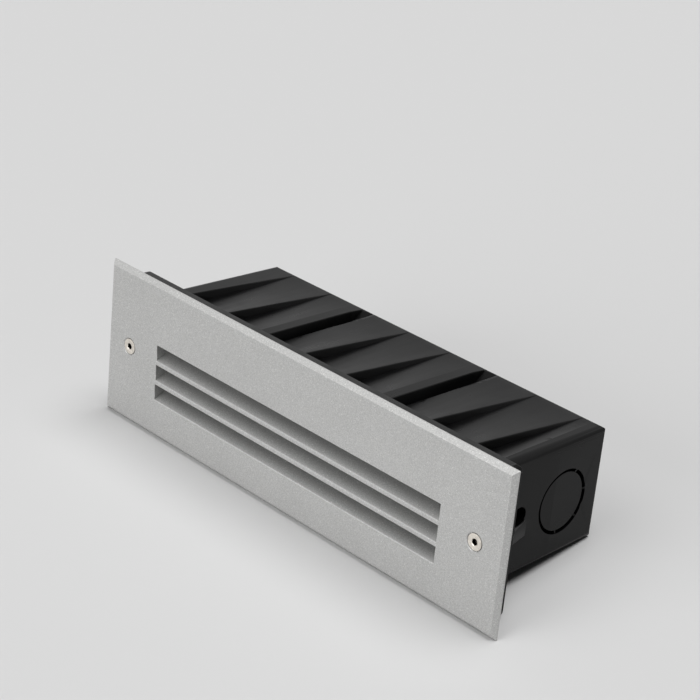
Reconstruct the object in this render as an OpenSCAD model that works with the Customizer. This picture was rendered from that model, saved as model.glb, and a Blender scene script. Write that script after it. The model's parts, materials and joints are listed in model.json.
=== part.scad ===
// Recessed step light: a louvred cast faceplate carries a sealed lamp
// housing, and both slide into a ribbed plastic mounting box in the wall.
// Frame: origin on the wall plane at the middle of the faceplate,
// +X to the right, +Y into the wall, +Z up. Lengths are in millimetres.

/* [Faceplate] */
// Width of the faceplate
plate_w = 230; // [220:1:250]
// Height of the faceplate
plate_h = 69; // [66:1:80]
// Thickness of the faceplate
plate_t = 2.4; // [2.2:0.1:3.5]
// Width of the bevel round the front edge
plate_bevel = 1.8; // [0.5:0.1:1.9]

/* [Louvre] */
// Distance from the box's end to the louvred window, at each end
window_side = 15.3; // [14.8:0.1:30]
// Distance from the box's lower edge up to the window
window_floor = 6.5; // [5.2:0.1:9]
// Distance from the window up to the box's upper edge
window_roof = 16.7; // [14:0.1:20]
// Number of light slots
slot_count = 3; // [2:1:4]
// Height of the flat front edge of a blade
blade_t = 1.9; // [1.2:0.1:2.2]
// Depth of the blades behind the front face
blade_reach = 9; // [7.5:0.1:9.5]
// Angle at which the blades climb inwards
blade_angle = 27; // [20:1:30]
// Wall beside the slots on the back of the plate
collar_side = 2.8; // [2:0.1:3]
// Wall under the lowest slot on the back of the plate
collar_floor = 1.4; // [1:0.1:1.6]
// Wall over the highest slot on the back of the plate
collar_roof = 1.7; // [1.2:0.1:2.5]

/* [Fixing screws] */
// Distance of a fixing screw's axis past the end of the box
screw_out = 2.8; // [2:0.1:3.6]
// Diameter of the fixing screws' thread
screw_d = 4; // [3:0.1:4.2]
// Diameter of the countersunk head
screw_head_d = 7.9; // [6:0.1:8.5]
// Length of the fixing screws, head included
screw_len = 16; // [12:0.5:16.2]
// Width across the flats of the hexagon socket
screw_hex = 2.5; // [2:0.1:3]
// Depth of the hexagon socket
screw_hex_depth = 1.8; // [1.2:0.1:2]
// Gap round the head in its countersink
screw_head_gap = 0.4; // [0.1:0.05:0.6]
// Depth of the head below the plate's face
screw_sink = 0.1; // [0.05:0.05:0.3]
// Radial clearance of turning and threaded parts
run_clear = 0.05; // [0.02:0.01:0.09]
// Outer diameter of the retaining washers
washer_d = 7.6; // [6:0.1:8]
// Gap beside the retaining washers
washer_gap = 0.1; // [0.05:0.05:0.2]

/* [Mounting box flange] */
// Overlap of the faceplate past the flange, at each end
plate_over_w = 8; // [4:0.5:9]
// Overlap of the faceplate past the flange, above and below
plate_over_h = 4.5; // [2:0.5:5]
// Depth of the flange
flange_depth = 10.2; // [9:0.1:12]
// Bevel on the flange's upper and lower rear edges
flange_bevel = 1.2; // [0.5:0.1:2]
// Bevel on the rear edges of the flange's ends
flange_end_bevel = 0.3; // [0.2:0.1:1]
// Radius of the flange's corners
flange_corner = 3; // [1:0.5:5]
// Thickness of the flange's front web
flange_web = 2.5; // [2:0.1:4]
// Thickness of the flange's outer skirt
skirt_t = 2.2; // [1.6:0.1:3]
// Thickness of the ribs across the flange
flange_rib_t = 1.6; // [1:0.1:3]

/* [Mounting box] */
// Reach of the flange past the box, at each end
flange_reach_w = 9.5; // [9:0.1:11]
// Reach of the flange past the box, above and below
flange_reach_h = 6; // [5:0.1:6.5]
// Distance from the wall plane to the back of the box
box_depth = 73.8; // [70:0.2:90]
// Narrowing of the box on each side, front to back
box_draft_w = 2.5; // [1:0.1:3]
// Narrowing of the box above and below, front to back
box_draft_h = 0.5; // [0.2:0.1:1]
// Wall thickness of the box
box_wall = 2.3; // [2:0.1:2.6]
// Radius of the long edges at the front
box_edge_front = 5; // [3:0.5:6]
// Radius of the long edges at the back
box_edge_back = 3; // [2:0.5:4]
// Radius of the edges round the back wall
box_edge_rear = 3; // [1:0.5:4]

/* [Ribs] */
// Number of steps along the top and the bottom
rib_count = 8; // [5:1:8]
// Distance between steps
rib_pitch = 23.6; // [20:0.1:24]
// Depth of a step at its front end
rib_depth = 4.4; // [2:0.1:4.6]
// Every step with this number is a deep one
rib_deep_every = 3; // [2:1:4]
// Depth of the pocket under a deep step past the front end's depth
pocket_extra = 0.15; // [0.1:0.05:0.3]
// Width that the pocket reaches at its rear end
pocket_w = 6.8; // [3:0.1:9]
// Width of the pocket at its front end
pocket_front_w = 1.5; // [1:0.1:3]
// Distance from the pocket's full depth to the back of the box
pocket_end = 8; // [6:0.1:14]
// Length of the slope that closes the pocket
pocket_slope = 5.5; // [3:0.1:5.8]
// Depth of the pocket where it runs out at the back
pocket_rear = 0.5; // [0.2:0.1:1]
// Sideways lean of a shallow step's crest, front to back
rib_lean = 6.4; // [2:0.1:8]
// Flat land before a deep step's crest
rib_land_deep = 5; // [2:0.1:8]
// Flat land before a shallow step's crest
rib_land = 1; // [0.5:0.1:3]
// Sideways draft of a step's face
rib_draft = 0.6; // [0.2:0.1:1.5]
// Distance of the row of steps to the left of the middle
rib_shift = 2; // [0:0.1:3]
// Distance of a deep step to the left of its place in the row
rib_deep_shift = 1; // [0:0.1:2]
// Gap between the flange and the front end of the steps
rib_start = 3; // [2.8:0.1:6]
// Gap between the end of a shallow step and the back of the box
rib_fade = 2; // [1:0.5:6]

/* [Box openings] */
// Diameter of the knockouts in the end walls
knockout_d = 25.6; // [20:0.2:28]
// Width of the groove round a knockout
knockout_groove = 1.4; // [0.6:0.1:1.6]
// Width of the tabs that hold a knockout
knockout_tab = 0.8; // [0.6:0.1:2]
// Depth of the tabs below the face of the end wall
knockout_tab_sink = 0.5; // [0.1:0.1:1]
// Number of the tabs that hold a knockout
knockout_tabs = 7; // [3:1:9]
// Turn of the first tab away from straight into the wall
knockout_turn = 8; // [0:1:70]
// Distance from the knockout's middle to the back of the box
knockout_back = 22.8; // [20:0.2:26]
// Distance of the knockout's middle below the middle of the box
knockout_drop = 1.5; // [0:0.1:3]
// Diameter of the fixing hole in each end wall
side_hole_d = 7.2; // [5:0.1:7.6]
// Distance from the flange to the middle of the fixing hole
side_hole_back = 15; // [12:0.1:18]
// Thickness of the wedge-shaped gusset where it meets the flange
gusset_t = 4; // [2:0.1:5]
// Length of the gusset behind the flange
gusset_len = 18.8; // [16:0.1:22]
// Height of the gusset
gusset_h = 7.2; // [5:0.1:9]
// Distance from the fixing hole's axis down to the gusset's top
gusset_drop = 2.1; // [0.5:0.1:3.5]

/* [Screw bosses] */
// Diameter of the bosses for the fixing screws
boss_d = 8.4; // [7.6:0.1:8.6]
// Length of the bosses behind the flange
boss_len = 3.6; // [3.4:0.1:5]
// Wall left at the end of a boss
boss_end = 0.8; // [0.4:0.1:1]
// Outer diameter of the threaded inserts
insert_d = 5.8; // [5.4:0.1:6.2]
// Length of the threaded inserts
insert_len = 8; // [6:0.5:9]

/* [Seals] */
// Thickness of the gasket between plate and flange
face_seal_t = 1; // [0.6:0.1:1.2]
// Width of the free margin round the face gasket
face_seal_margin = 0.5; // [0:0.1:1.5]
// Thickness of the gasket between plate and lamp housing
rim_seal_t = 0.8; // [0.5:0.1:1]
// Thickness of the seal behind the lamp pane
pane_seal_t = 0.6; // [0.4:0.1:0.8]
// Width of the seal behind the lamp pane
pane_seal_w = 2; // [1.6:0.1:2.2]

/* [Lamp housing] */
// Gap between the lamp unit and the inside of the box
slide_gap = 0.5; // [0.4:0.1:1]
// Thickness of the housing's walls
case_wall = 2.3; // [2:0.1:2.6]
// Depth of the wide rim behind the wall plane
rim_depth = 11.4; // [11:0.1:11.6]
// Width of the rim past the lamp chamber, on each side
rim_ear = 7.2; // [6.6:0.1:7.4]
// Wall of the rim over the collar
rim_roof = 3.1; // [2:0.1:4]
// Gap between the lamp chamber and the steps' inner faces
chamber_gap = 1; // [0.6:0.1:1.8]
// Distance from the wall plane to the back of the lamp chamber
chamber_back = 31; // [30:0.5:33]
// Right end of the driver bay
bay_right = 45; // [44:1:50]
// Gap round a fitted piece such as the pane
fit_gap = 0.3; // [0.2:0.05:0.4]
// Overlap of the bay's screw bosses with its walls
boss_merge = 1; // [0.6:0.1:1.4]
// Thickness of the rear cover
cover_t = 2.2; // [1.6:0.1:3]
// Thickness of the seal under the rear cover
cover_seal_t = 0.6; // [0.4:0.1:1]
// Corner radius of the castings
case_corner = 2.5; // [1:0.5:3]

/* [Small screws] */
// Diameter of the housing and cover screws
small_d = 3; // [2.5:0.1:3.2]
// Head diameter of the housing and cover screws
small_head_d = 5.5; // [4.5:0.1:5.8]
// Head height of the housing and cover screws
small_head_h = 2; // [1.2:0.1:2.4]
// Length of the housing screws under the head
rim_screw_len = 10; // [9:0.5:10.5]
// Length of the cover screws under the head
cover_screw_len = 8; // [6:0.5:12]
// Diameter of the bosses that take small screws
small_boss_d = 6; // [5:0.1:6.4]
// Length of the bosses on the back of the plate
plate_boss_len = 5; // [3:0.1:6]
// Distance of the housing screws inside the chamber's upper and lower faces
rim_screw_inset = 4.3; // [3.8:0.1:6]
// Head diameter of the board and driver screws
flat_head_d = 3.6; // [3:0.1:3.8]
// Head height of the board and driver screws
flat_head_t = 1.2; // [0.8:0.1:1.6]
// Length of the cross slots in the small screws' heads
cross_len = 3.3; // [2:0.1:3.8]
// Width of the slots in the small screws' heads
cross_w = 0.7; // [0.5:0.1:1]
// Room past a screw's end in its blind hole
blind_gap = 0.5; // [0.3:0.1:0.6]
// Metal left under a blind hole
blind_skin = 0.5; // [0.3:0.1:0.6]

/* [Lamp] */
// Thickness of the lamp pane
pane_t = 2.5; // [2:0.1:2.6]
// Gap between the lamp board and the ends of the chamber
board_end_gap = 7.2; // [4:0.1:12]
// Width of the lamp board
board_w = 10; // [8:0.5:11]
// Thickness of the lamp board
board_t = 1.6; // [1:0.1:2]
// Thickness of the heat pad over the board
pad_t = 0.5; // [0.3:0.1:1]
// Gap between the pane's ledge and the lamp board
board_gap = 4.3; // [3:0.1:4.6]
// Number of light-emitting diodes
led_count = 16; // [8:2:16]
// Side of a diode
led_w = 3; // [2:0.1:3.5]
// Height of a diode
led_h = 0.8; // [0.5:0.1:1.2]
// Diameter of the lamp board screws
board_screw_d = 2.5; // [2:0.1:2.6]
// Thickness of the reflector sheet
mirror_t = 0.8; // [0.5:0.1:1]

/* [Driver bay] */
// Least gap between the ends of the bay and what stands in it
bay_gap = 2; // [1.5:0.1:2.5]
// Gap between the right screw bosses and the cable gland's thread
bay_boss_gap = 0.5; // [0.3:0.1:1]
// Gap between the driver and the cover
bay_rear_gap = 4.5; // [3:0.5:7]
// Length of the driver
driver_len = 56; // [40:1:58]
// Gap above and below the driver
driver_gap = 3; // [2:0.1:5]
// Depth of the driver
driver_t = 14; // [10:0.5:15]
// Half height of the driver's two fixing lugs, and their length
driver_lug = 4; // [4:0.1:5]
// Thickness of the driver's fixing lugs
driver_lug_t = 2; // [1.5:0.1:3]
// Length of the terminal block
terminal_len = 20; // [16:0.5:21]
// Gap above and below the terminal block
terminal_gap = 6; // [5:0.1:8]
// Depth of the terminal block
terminal_t = 12; // [9:0.5:13]
// Number of terminals
terminal_count = 3; // [2:1:3]
// Diameter of the wire holes in the terminal block
terminal_bore = 3.4; // [2.5:0.1:4]
// Depth of the terminal screws below the block's face
terminal_sink = 0.6; // [0.3:0.1:1]
// Depth of the slot in the terminal screws
terminal_slot = 0.8; // [0.5:0.1:1.2]
// Diameter of the hole for the lamp leads
lead_hole_d = 7; // [5:0.1:8]
// Diameter of one insulated lamp lead
lead_d = 1.6; // [1:0.1:2]
// Distance between the two lamp leads
lead_gap = 2.2; // [2.1:0.1:2.6]
// Radius of the leads' bend behind the bulkhead
lead_bend = 3; // [2.5:0.1:3.4]
// Radius of the leads' bend under the lamp board
lead_up = 1.8; // [1.2:0.1:2]
// Distance of the leads' exit below the driver's rear face
lead_exit = 4; // [3:0.1:6]
// Gap between the driver and the leads' hole
lead_run = 3.5; // [3:0.1:4]
// Gap between the leads' hole and the terminal block
lead_terminal_gap = 2.9; // [2:0.1:4]
// Gap between the bay's roof and the leads' hole
lead_roof_gap = 1.4; // [1.2:0.1:2]
// Wall of the grommet inside the leads' hole
grommet_wall = 1; // [0.6:0.1:1]
// Length of the grommet's lips in front of and behind the bulkhead
grommet_lip = 1; // [0.6:0.1:1]
// Thickness of the earth tag
tag_t = 0.8; // [0.5:0.1:1.2]
// Length of the earth tag's tail
tag_len = 6; // [5:0.5:6.5]
// Width of the ring round the earth tag's hole
tag_ring = 1.6; // [1.2:0.1:2]
// Height of the earth screw above the bay's floor
earth_up = 5; // [4.5:0.1:6]

/* [Cable gland] */
// Thread diameter of the cable gland
gland_d = 12; // [10:0.5:12.5]
// Width across the flats of the gland's hexagons
gland_hex = 15.6; // [14:0.1:16]
// Bore of the gland's rubber seal
gland_bore = 6; // [4:0.1:6.5]
// Thickness of the gland's middle hexagon
gland_flange_t = 4; // [3:0.5:5]
// Length of the gland's outer thread
gland_outer_len = 7; // [6:0.5:9]
// Length of the gland's rubber seal
gland_seal_len = 6; // [4:0.5:7]
// Wall of the gland's body round its rubber seal
gland_wall = 1.5; // [1.2:0.1:2]
// Length of thread past the gland's locknut
gland_thread_out = 1; // [0.5:0.1:1.5]
// Thickness of the washer under the gland
gland_washer_t = 1; // [0.5:0.1:1.5]
// Thickness of the gland's locknut
gland_lock_t = 3; // [2:0.1:4]
// Length of the gland's nut
gland_nut_len = 11; // [10:0.5:13]

/* [Hidden] */
$fn = 48;

// Faces are cut a little past each other by this much
eps = 0.02;
// Length by which a cutting tool runs out of the material
over = 1;
// Facets round a quarter of a rounded hull edge come from this count
hull_fn = 32;
// Facets round the whole circle that the reflector's curve is part of
mirror_fn = 96;
// Lofted strips along a step
rib_strips = 4;
// Radius kept on edges whose wall takes up their rounding
least_r = 0.7;

front_y = -plate_t;
climb = tan(blade_angle);
flange_w = plate_w - 2 * plate_over_w;
flange_h = plate_h - 2 * plate_over_h;
box_w = flange_w - 2 * flange_reach_w;
box_h = flange_h - 2 * flange_reach_h;
window_w = box_w - 2 * window_side;
window_bottom = -box_h / 2 + window_floor;
window_top = box_h / 2 - window_roof;
slot_h = (window_top - window_bottom - (slot_count - 1) * blade_t) / slot_count;
slot_pitch = slot_h + blade_t;
collar_back = front_y + blade_reach;
collar_half_w = window_w / 2 + collar_side;
collar_bottom = window_bottom - collar_floor;
collar_top = window_top + blade_reach * climb + collar_roof;

screw_spacing = box_w + 2 * screw_out;
screw_r = screw_d / 2;
head_y = front_y + screw_sink;
head_h = (screw_head_d - screw_d) / 2;
screw_end = head_y + screw_len;

flange_front = face_seal_t;
flange_back = flange_front + flange_depth;
boss_back = flange_back + boss_len;
body_len = box_depth - flange_back;
rib_front = flange_back + rib_start;
rib_back = box_depth - rib_fade;
cavity_half_w = box_w / 2 - box_wall;
cavity_half_h = box_h / 2 - box_wall;

rim_front = rim_seal_t;
rim_half_w = cavity_half_w - slide_gap - (rim_depth - flange_back) * box_draft_w / body_len;
rim_bottom = -cavity_half_h + slide_gap;
rim_top = collar_top + fit_gap + rim_roof;
chamber_half_w = rim_half_w - rim_ear;
chamber_half_h = cavity_half_h - rib_depth - chamber_gap;
pane_front = collar_back + eps;
pane_back = pane_front + pane_t;
ledge_front = pane_back + pane_seal_t;
inner_half_w = chamber_half_w - case_wall;
inner_half_h = chamber_half_h - case_wall;
bulkhead_front = chamber_back - case_wall;
rim_screw_x = (rim_half_w + chamber_half_w) / 2;
rim_screw_z = chamber_half_h - rim_screw_inset;
bay_back = chamber_back + driver_t + bay_rear_gap;
cover_front = bay_back + cover_seal_t;
cover_back = cover_front + cover_t;
bay_screw_inset = case_wall + small_boss_d / 2 - boss_merge;
bay_inner_right = bay_right - case_wall;
gland_thread_end = bay_inner_right - gland_lock_t - gland_thread_out;
bay_boss_x = gland_thread_end - bay_boss_gap - small_boss_d / 2;

board_top = inner_half_h - pad_t;
board_bottom = board_top - board_t;
board_front = ledge_front + board_gap;
board_len = 2 * (inner_half_w - board_end_gap);
led_pitch = board_len / led_count;
board_screw_x = 5 * led_pitch;
mirror_top_y = bulkhead_front - mirror_t - fit_gap;
mirror_foot_y = rim_depth + mirror_t;
mirror_half_h = inner_half_h - fit_gap;
mirror_run = mirror_top_y - mirror_foot_y;
mirror_r = (mirror_run * mirror_run + 4 * mirror_half_h * mirror_half_h) / (2 * mirror_run);

terminal_x = bay_inner_right - gland_lock_t - bay_gap - terminal_len / 2;
lead_x = terminal_x - terminal_len / 2 - lead_terminal_gap - lead_hole_d / 2;
driver_end = lead_x - lead_hole_d / 2 - lead_run;
driver_x = driver_end - driver_len / 2;
driver_h = 2 * (inner_half_h - driver_gap);
terminal_h = 2 * (inner_half_h - terminal_gap);
bay_inner_left = driver_x - driver_len / 2 - driver_lug - bay_gap;
bay_left = case_wall - bay_inner_left;
gland_y = (chamber_back + bay_back) / 2;
gland_seal_d = gland_d - 2 * gland_wall;
gland_seat = bay_right + gland_washer_t;
terminal_pitch = terminal_len / terminal_count;
terminal_screw_z = terminal_h / 4;
lead_exit_y = chamber_back + driver_t - lead_exit;
lead_z = inner_half_h - lead_hole_d / 2 - lead_roof_gap;
earth_x = lead_x;
earth_z = -inner_half_h + earth_up;

// A rectangle with true round corners
module rounded_rect(w, h, r) {
  square([w - 2 * r, h], center = true);
  square([w, h - 2 * r], center = true);
  for (sx = [-1, 1])
    for (sz = [-1, 1])
      translate([sx * (w / 2 - r), sz * (h / 2 - r)])
        circle(r);
}

// A rectangle from corner to corner with true round corners
module rect_between(x0, x1, z0, z1, r) {
  translate([(x0 + x1) / 2, (z0 + z1) / 2])
    rounded_rect(x1 - x0, z1 - z0, r);
}

// Extrudes an outline drawn in X and Z from y0 to y1
module slab(y0, y1) {
  translate([0, y1, 0])
    rotate([90, 0, 0])
      linear_extrude(y1 - y0)
        children();
}

// A round bar along Y
module bar_y(x, z, y0, y1, r) {
  translate([x, y0, z])
    rotate([-90, 0, 0])
      cylinder(r = r, h = y1 - y0);
}

// A round bar along X
module bar_x(y, z, x0, x1, r) {
  translate([x0, y, z])
    rotate([0, 90, 0])
      cylinder(r = r, h = x1 - x0);
}

// A hexagonal bar along Y, measured across its flats
module hex_y(x, z, y0, y1, flats) {
  translate([x, y0, z])
    rotate([-90, 0, 0])
      cylinder(d = flats / cos(30), h = y1 - y0, $fn = 6);
}

// A hexagonal bar along X, measured across its flats
module hex_x(y, z, x0, x1, flats) {
  translate([x0, y, z])
    rotate([0, 90, 0])
      rotate([0, 0, 30])
        cylinder(d = flats / cos(30), h = x1 - x0, $fn = 6);
}

module both_ends() {
  children();
  mirror([1, 0, 0])
    children();
}

// A pan-head screw along Y with its thread towards the front
module pan_screw(x, z, seat, length) {
  difference() {
    union() {
      bar_y(x, z, seat, seat + small_head_h, small_head_d / 2);
      bar_y(x, z, seat - length, seat + eps, small_d / 2);
    }
    translate([x, seat + small_head_h, z])
      for (turn = [0, 90])
        rotate([0, turn, 0])
          cube([cross_len, small_head_h, cross_w], center = true);
  }
}

// Half width and half height of the box's outside at a depth
function box_half_w(y) = box_w / 2 - box_draft_w * (y - flange_back) / body_len;
function box_half_h(y) = box_h / 2 - box_draft_h * (y - flange_back) / body_len;

// Steps are numbered from 0, and every rib_deep_every-th one is deep
function is_deep(k) = (k + 1) % rib_deep_every == 0;
function rib_share(y) = (y - rib_front) / (rib_back - rib_front);
function rib_mid_x(k) = (k - (rib_count - 1) / 2) * rib_pitch - rib_shift;
function rib_lean_at(y) = rib_lean * (rib_share(y) - 0.5);
function crest_x(k, y) = rib_mid_x(k) + (is_deep(k) ? -rib_deep_shift : rib_lean_at(y));
function depth_at(y) = rib_depth * (1 - rib_share(y));
function land_before(k) = is_deep(k) ? rib_land_deep : rib_land;
function panel_end(k, y) =
  k + 1 < rib_count
    ? crest_x(k + 1, y) - land_before(k + 1)
    : box_half_w(y) - box_edge_front - rib_land;

// Four corners of a step's recess at depth y; the floor climbs from the
// foot of the step to the next land
function rib_section(k, y, wall) =
  let (
    top = box_half_h(y),
    crest = crest_x(k, y) - wall,
    d = depth_at(y) + wall
  )
  [
    [crest - rib_draft, y, top + over],
    [crest + rib_draft, y, top - d],
    [panel_end(k, y), y, top - wall + eps],
    [panel_end(k, y), y, top + over]
  ];

// A solid lofted through sections of four corners each
module lofted(sections) {
  last = 4 * (len(sections) - 1);
  sides = [
    for (i = [0:len(sections) - 2])
      for (j = [0:3])
        let (a = 4 * i + j, b = 4 * i + (j + 1) % 4)
          each [[a, b, b + 4], [a, b + 4, a + 4]]
  ];
  caps = [
    [2, 1, 0], [3, 2, 0],
    [last, last + 1, last + 2], [last, last + 2, last + 3]
  ];
  polyhedron(points = [for (section = sections) each section], faces = concat(sides, caps));
}

// The recess under step k; wall grows it for the inside of the box
module rib_recess(k, wall) {
  y0 = rib_front - wall;
  y1 = box_depth + over;
  lofted([for (i = [0:rib_strips]) rib_section(k, y0 + (y1 - y0) * i / rib_strips, wall)]);
}

// Four corners of the pocket under deep step k, d deep and w wide
function pocket_section(k, y, wall, d, w) =
  let (
    top = box_half_h(y),
    crest = crest_x(k, y) - wall,
    edge = crest_x(k, y) + w + wall,
    floor = (depth_at(y) + wall) * (panel_end(k, y) - edge) / (panel_end(k, y) - crest)
  )
  [
    [crest - rib_draft, y, top + over],
    [crest + rib_draft, y, top - d - wall],
    [edge, y, top - max(floor, wall)],
    [edge, y, top + over]
  ];

// The pocket at the foot of deep step k, which slopes up and closes just
// before the back; inside the box it runs on to the back wall
module rib_pocket(k, wall) {
  d = rib_depth + pocket_extra;
  y0 = rib_front - wall;
  y1 = box_depth - pocket_end;
  y2 = y1 + pocket_slope;
  y3 = box_depth + over;
  d_rear = wall > 0 ? d : pocket_rear;
  lofted([
    pocket_section(k, y0, wall, d, pocket_front_w),
    pocket_section(k, y1, wall, d, pocket_w),
    pocket_section(k, y2, wall, d_rear, pocket_w),
    pocket_section(k, y3, wall, d_rear, pocket_w)
  ]);
}

module rib_recesses(wall) {
  for (k = [0:rib_count - 1])
    for (side = [0, 1])
      mirror([0, 0, side]) {
        rib_recess(k, wall);
        if (is_deep(k))
          rib_pocket(k, wall);
      }
}

// A tapered prism with round long edges, smaller by inset all round
module box_prism(inset, y0, y1) {
  hull()
    for (end = [[y0, box_edge_front], [y1, box_edge_back]])
      for (sx = [-1, 1])
        for (sz = [-1, 1])
          let (r = max(end[1] - inset, least_r))
            translate([
              sx * (box_half_w(end[0]) - inset - r),
              end[0],
              sz * (box_half_h(end[0]) - inset - r)
            ])
              rotate([-90, 0, 0])
                cylinder(r = r, h = eps, $fn = hull_fn);
}

// Outline that rounds the box's rear corners and leaves its sides alone;
// half is half the box's size where the rounding starts
module rear_rounding(half, inset) {
  r = max(box_edge_rear - inset, least_r);
  y1 = box_depth - inset;
  flat = half - inset - r;
  translate([-half - over, 0])
    square([2 * (half + over), y1 - r]);
  translate([-flat, 0])
    square([2 * flat, y1]);
  for (s = [-1, 1])
    translate([s * flat, y1 - r])
      circle(r);
}

// The box's tapered body with rounded edges, smaller by inset all round
module box_body(inset, y0) {
  intersection() {
    box_prism(inset, y0, box_depth + over);
    linear_extrude(box_h + 2 * over, center = true)
      rear_rounding(box_half_w(box_depth - box_edge_rear), inset);
    rotate([0, -90, 0])
      linear_extrude(box_w + 2 * over, center = true)
        rear_rounding(box_half_h(box_depth - box_edge_rear), inset);
  }
}

// Plate behind which the box is fixed, with a bevel on its rear edge
module flange_block() {
  half_w = flange_w / 2;
  half_h = flange_h / 2;
  y0 = flange_front;
  y1 = flange_back;
  intersection() {
    linear_extrude(flange_h, center = true)
      polygon([
        [-half_w, y0], [half_w, y0], [half_w, y1 - flange_end_bevel],
        [half_w - flange_end_bevel, y1], [flange_end_bevel - half_w, y1],
        [-half_w, y1 - flange_end_bevel]
      ]);
    rotate([90, 0, 90])
      linear_extrude(flange_w, center = true)
        polygon([
          [y0, -half_h], [y0, half_h], [y1 - flange_bevel, half_h],
          [y1, half_h - flange_bevel], [y1, flange_bevel - half_h],
          [y1 - flange_bevel, -half_h]
        ]);
    slab(y0, y1)
      rounded_rect(flange_w, flange_h, flange_corner);
  }
}

// Hollows that lighten the flange, open at its back
module flange_pockets() {
  y0 = flange_front + flange_web;
  y1 = flange_back + over;
  z0 = box_h / 2;
  z1 = flange_h / 2 - skirt_t;
  x0 = box_w / 2;
  x1 = flange_w / 2 - skirt_t;
  pocket_w = rib_pitch - flange_rib_t;
  for (sz = [-1, 1])
    for (k = [0:rib_count - 1])
      translate([(k - (rib_count - 1) / 2) * rib_pitch, (y0 + y1) / 2, sz * (z0 + z1) / 2])
        cube([pocket_w, y1 - y0, z1 - z0], center = true);
  for (sx = [-1, 1])
    for (sz = [-1, 1])
      translate([sx * (x0 + x1) / 2, (y0 + y1) / 2, sz * (boss_d / 2 + flange_rib_t + z1) / 2])
        cube([x1 - x0, y1 - y0, z1 - boss_d / 2 - flange_rib_t], center = true);
}

// Groove round a knockout, broken by its tabs
module knockout_slot() {
  y = box_depth - knockout_back;
  r = knockout_d / 2;
  x0 = box_half_w(box_depth) - box_wall - over;
  x1 = box_w / 2 + over;
  tab_end = box_half_w(y) - knockout_tab_sink;
  difference() {
    bar_x(y, -knockout_drop, x0, x1, r + knockout_groove / 2);
    bar_x(y, -knockout_drop, x0 - over, x1 + over, r - knockout_groove / 2);
    for (i = [0:knockout_tabs - 1])
      translate([x0 - over, y, -knockout_drop])
        rotate([360 * i / knockout_tabs + knockout_turn, 0, 0])
          translate([0, r - knockout_groove, -knockout_tab / 2])
            cube([tab_end - x0 + over, 2 * knockout_groove, knockout_tab]);
  }
}

// Wedge between the flange and the end wall, which thins out until it runs
// into the wall; the fixing hole has a clear round notch in it
module end_gusset() {
  y0 = flange_front + flange_web - eps;
  wall_x = box_half_w(flange_back + gusset_len);
  x0 = wall_x - box_wall / 2;
  x1 = box_half_w(flange_back) + gusset_t;
  tip = flange_back + gusset_len * (x1 - x0) / (x1 - wall_x);
  difference() {
    translate([0, 0, -gusset_drop - gusset_h])
      linear_extrude(gusset_h)
        polygon([[x0, y0], [x1, y0], [x1, flange_back], [x0, tip]]);
    bar_x(flange_back + side_hole_back, 0, x0 - over, box_w, side_hole_d / 2 + fit_gap);
  }
}

module mounting_box() {
  color([0.13, 0.13, 0.14])
  difference() {
    union() {
      difference() {
        box_body(0, flange_back - over);
        rib_recesses(0);
      }
      difference() {
        flange_block();
        flange_pockets();
      }
      both_ends() {
        bar_y(screw_spacing / 2, 0, flange_front, boss_back, boss_d / 2);
        end_gusset();
      }
    }
    difference() {
      box_body(box_wall, flange_front - over);
      rib_recesses(box_wall);
    }
    both_ends() {
      knockout_slot();
      bar_x(flange_back + side_hole_back, 0, box_half_w(box_depth) - 2 * box_wall, box_w,
        side_hole_d / 2);
      bar_y(screw_spacing / 2, 0, flange_front - over, flange_front + insert_len, insert_d / 2);
      bar_y(screw_spacing / 2, 0, flange_front, boss_back - boss_end, screw_r + run_clear);
    }
  }
}

module threaded_inserts() {
  color([0.78, 0.62, 0.28])
  both_ends()
    difference() {
      bar_y(screw_spacing / 2, 0, flange_front, flange_front + insert_len, insert_d / 2);
      bar_y(screw_spacing / 2, 0, flange_front - over, flange_back + over, screw_r + run_clear);
    }
}

// The plate alone, with mitred bevels round its front
module plate_blank() {
  half_w = plate_w / 2;
  half_h = plate_h / 2;
  rim_y = front_y + plate_bevel;
  intersection() {
    linear_extrude(plate_h, center = true)
      polygon([
        [-half_w, 0], [-half_w, rim_y], [plate_bevel - half_w, front_y],
        [half_w - plate_bevel, front_y], [half_w, rim_y], [half_w, 0]
      ]);
    rotate([90, 0, 90])
      linear_extrude(plate_w, center = true)
        polygon([
          [0, -half_h], [rim_y, -half_h], [front_y, plate_bevel - half_h],
          [front_y, half_h - plate_bevel], [rim_y, half_h], [0, half_h]
        ]);
  }
}

// One slot through plate and collar, climbing inwards
module light_slot(i) {
  z0 = window_bottom + i * slot_pitch;
  y0 = front_y - over;
  y1 = collar_back + over;
  rotate([90, 0, 90])
    linear_extrude(window_w, center = true)
      polygon([
        [y0, z0 - over * climb], [y1, z0 + (y1 - front_y) * climb],
        [y1, z0 + slot_h + (y1 - front_y) * climb], [y0, z0 + slot_h - over * climb]
      ]);
}

module countersink() {
  x = screw_spacing / 2;
  r = screw_head_d / 2 + screw_head_gap;
  depth = r - screw_r - run_clear;
  bar_y(x, 0, front_y - over, over, screw_r + run_clear);
  translate([x, head_y, 0])
    rotate([-90, 0, 0])
      cylinder(r1 = r, r2 = r - depth, h = depth);
  bar_y(x, 0, front_y - over, head_y + eps, r);
}

module faceplate() {
  color([0.7, 0.71, 0.72])
  difference() {
    union() {
      plate_blank();
      slab(-eps, collar_back)
        rect_between(-collar_half_w, collar_half_w, collar_bottom, collar_top, collar_floor);
      for (sx = [-1, 1])
        for (sz = [-1, 1])
          bar_y(sx * rim_screw_x, sz * rim_screw_z, -eps, plate_boss_len, small_boss_d / 2);
    }
    for (i = [0:slot_count - 1])
      light_slot(i);
    both_ends()
      countersink();
    for (sx = [-1, 1])
      for (sz = [-1, 1])
        bar_y(sx * rim_screw_x, sz * rim_screw_z, rim_depth - rim_screw_len - blind_gap,
          plate_boss_len + over, small_d / 2 + run_clear);
  }
}

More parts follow.
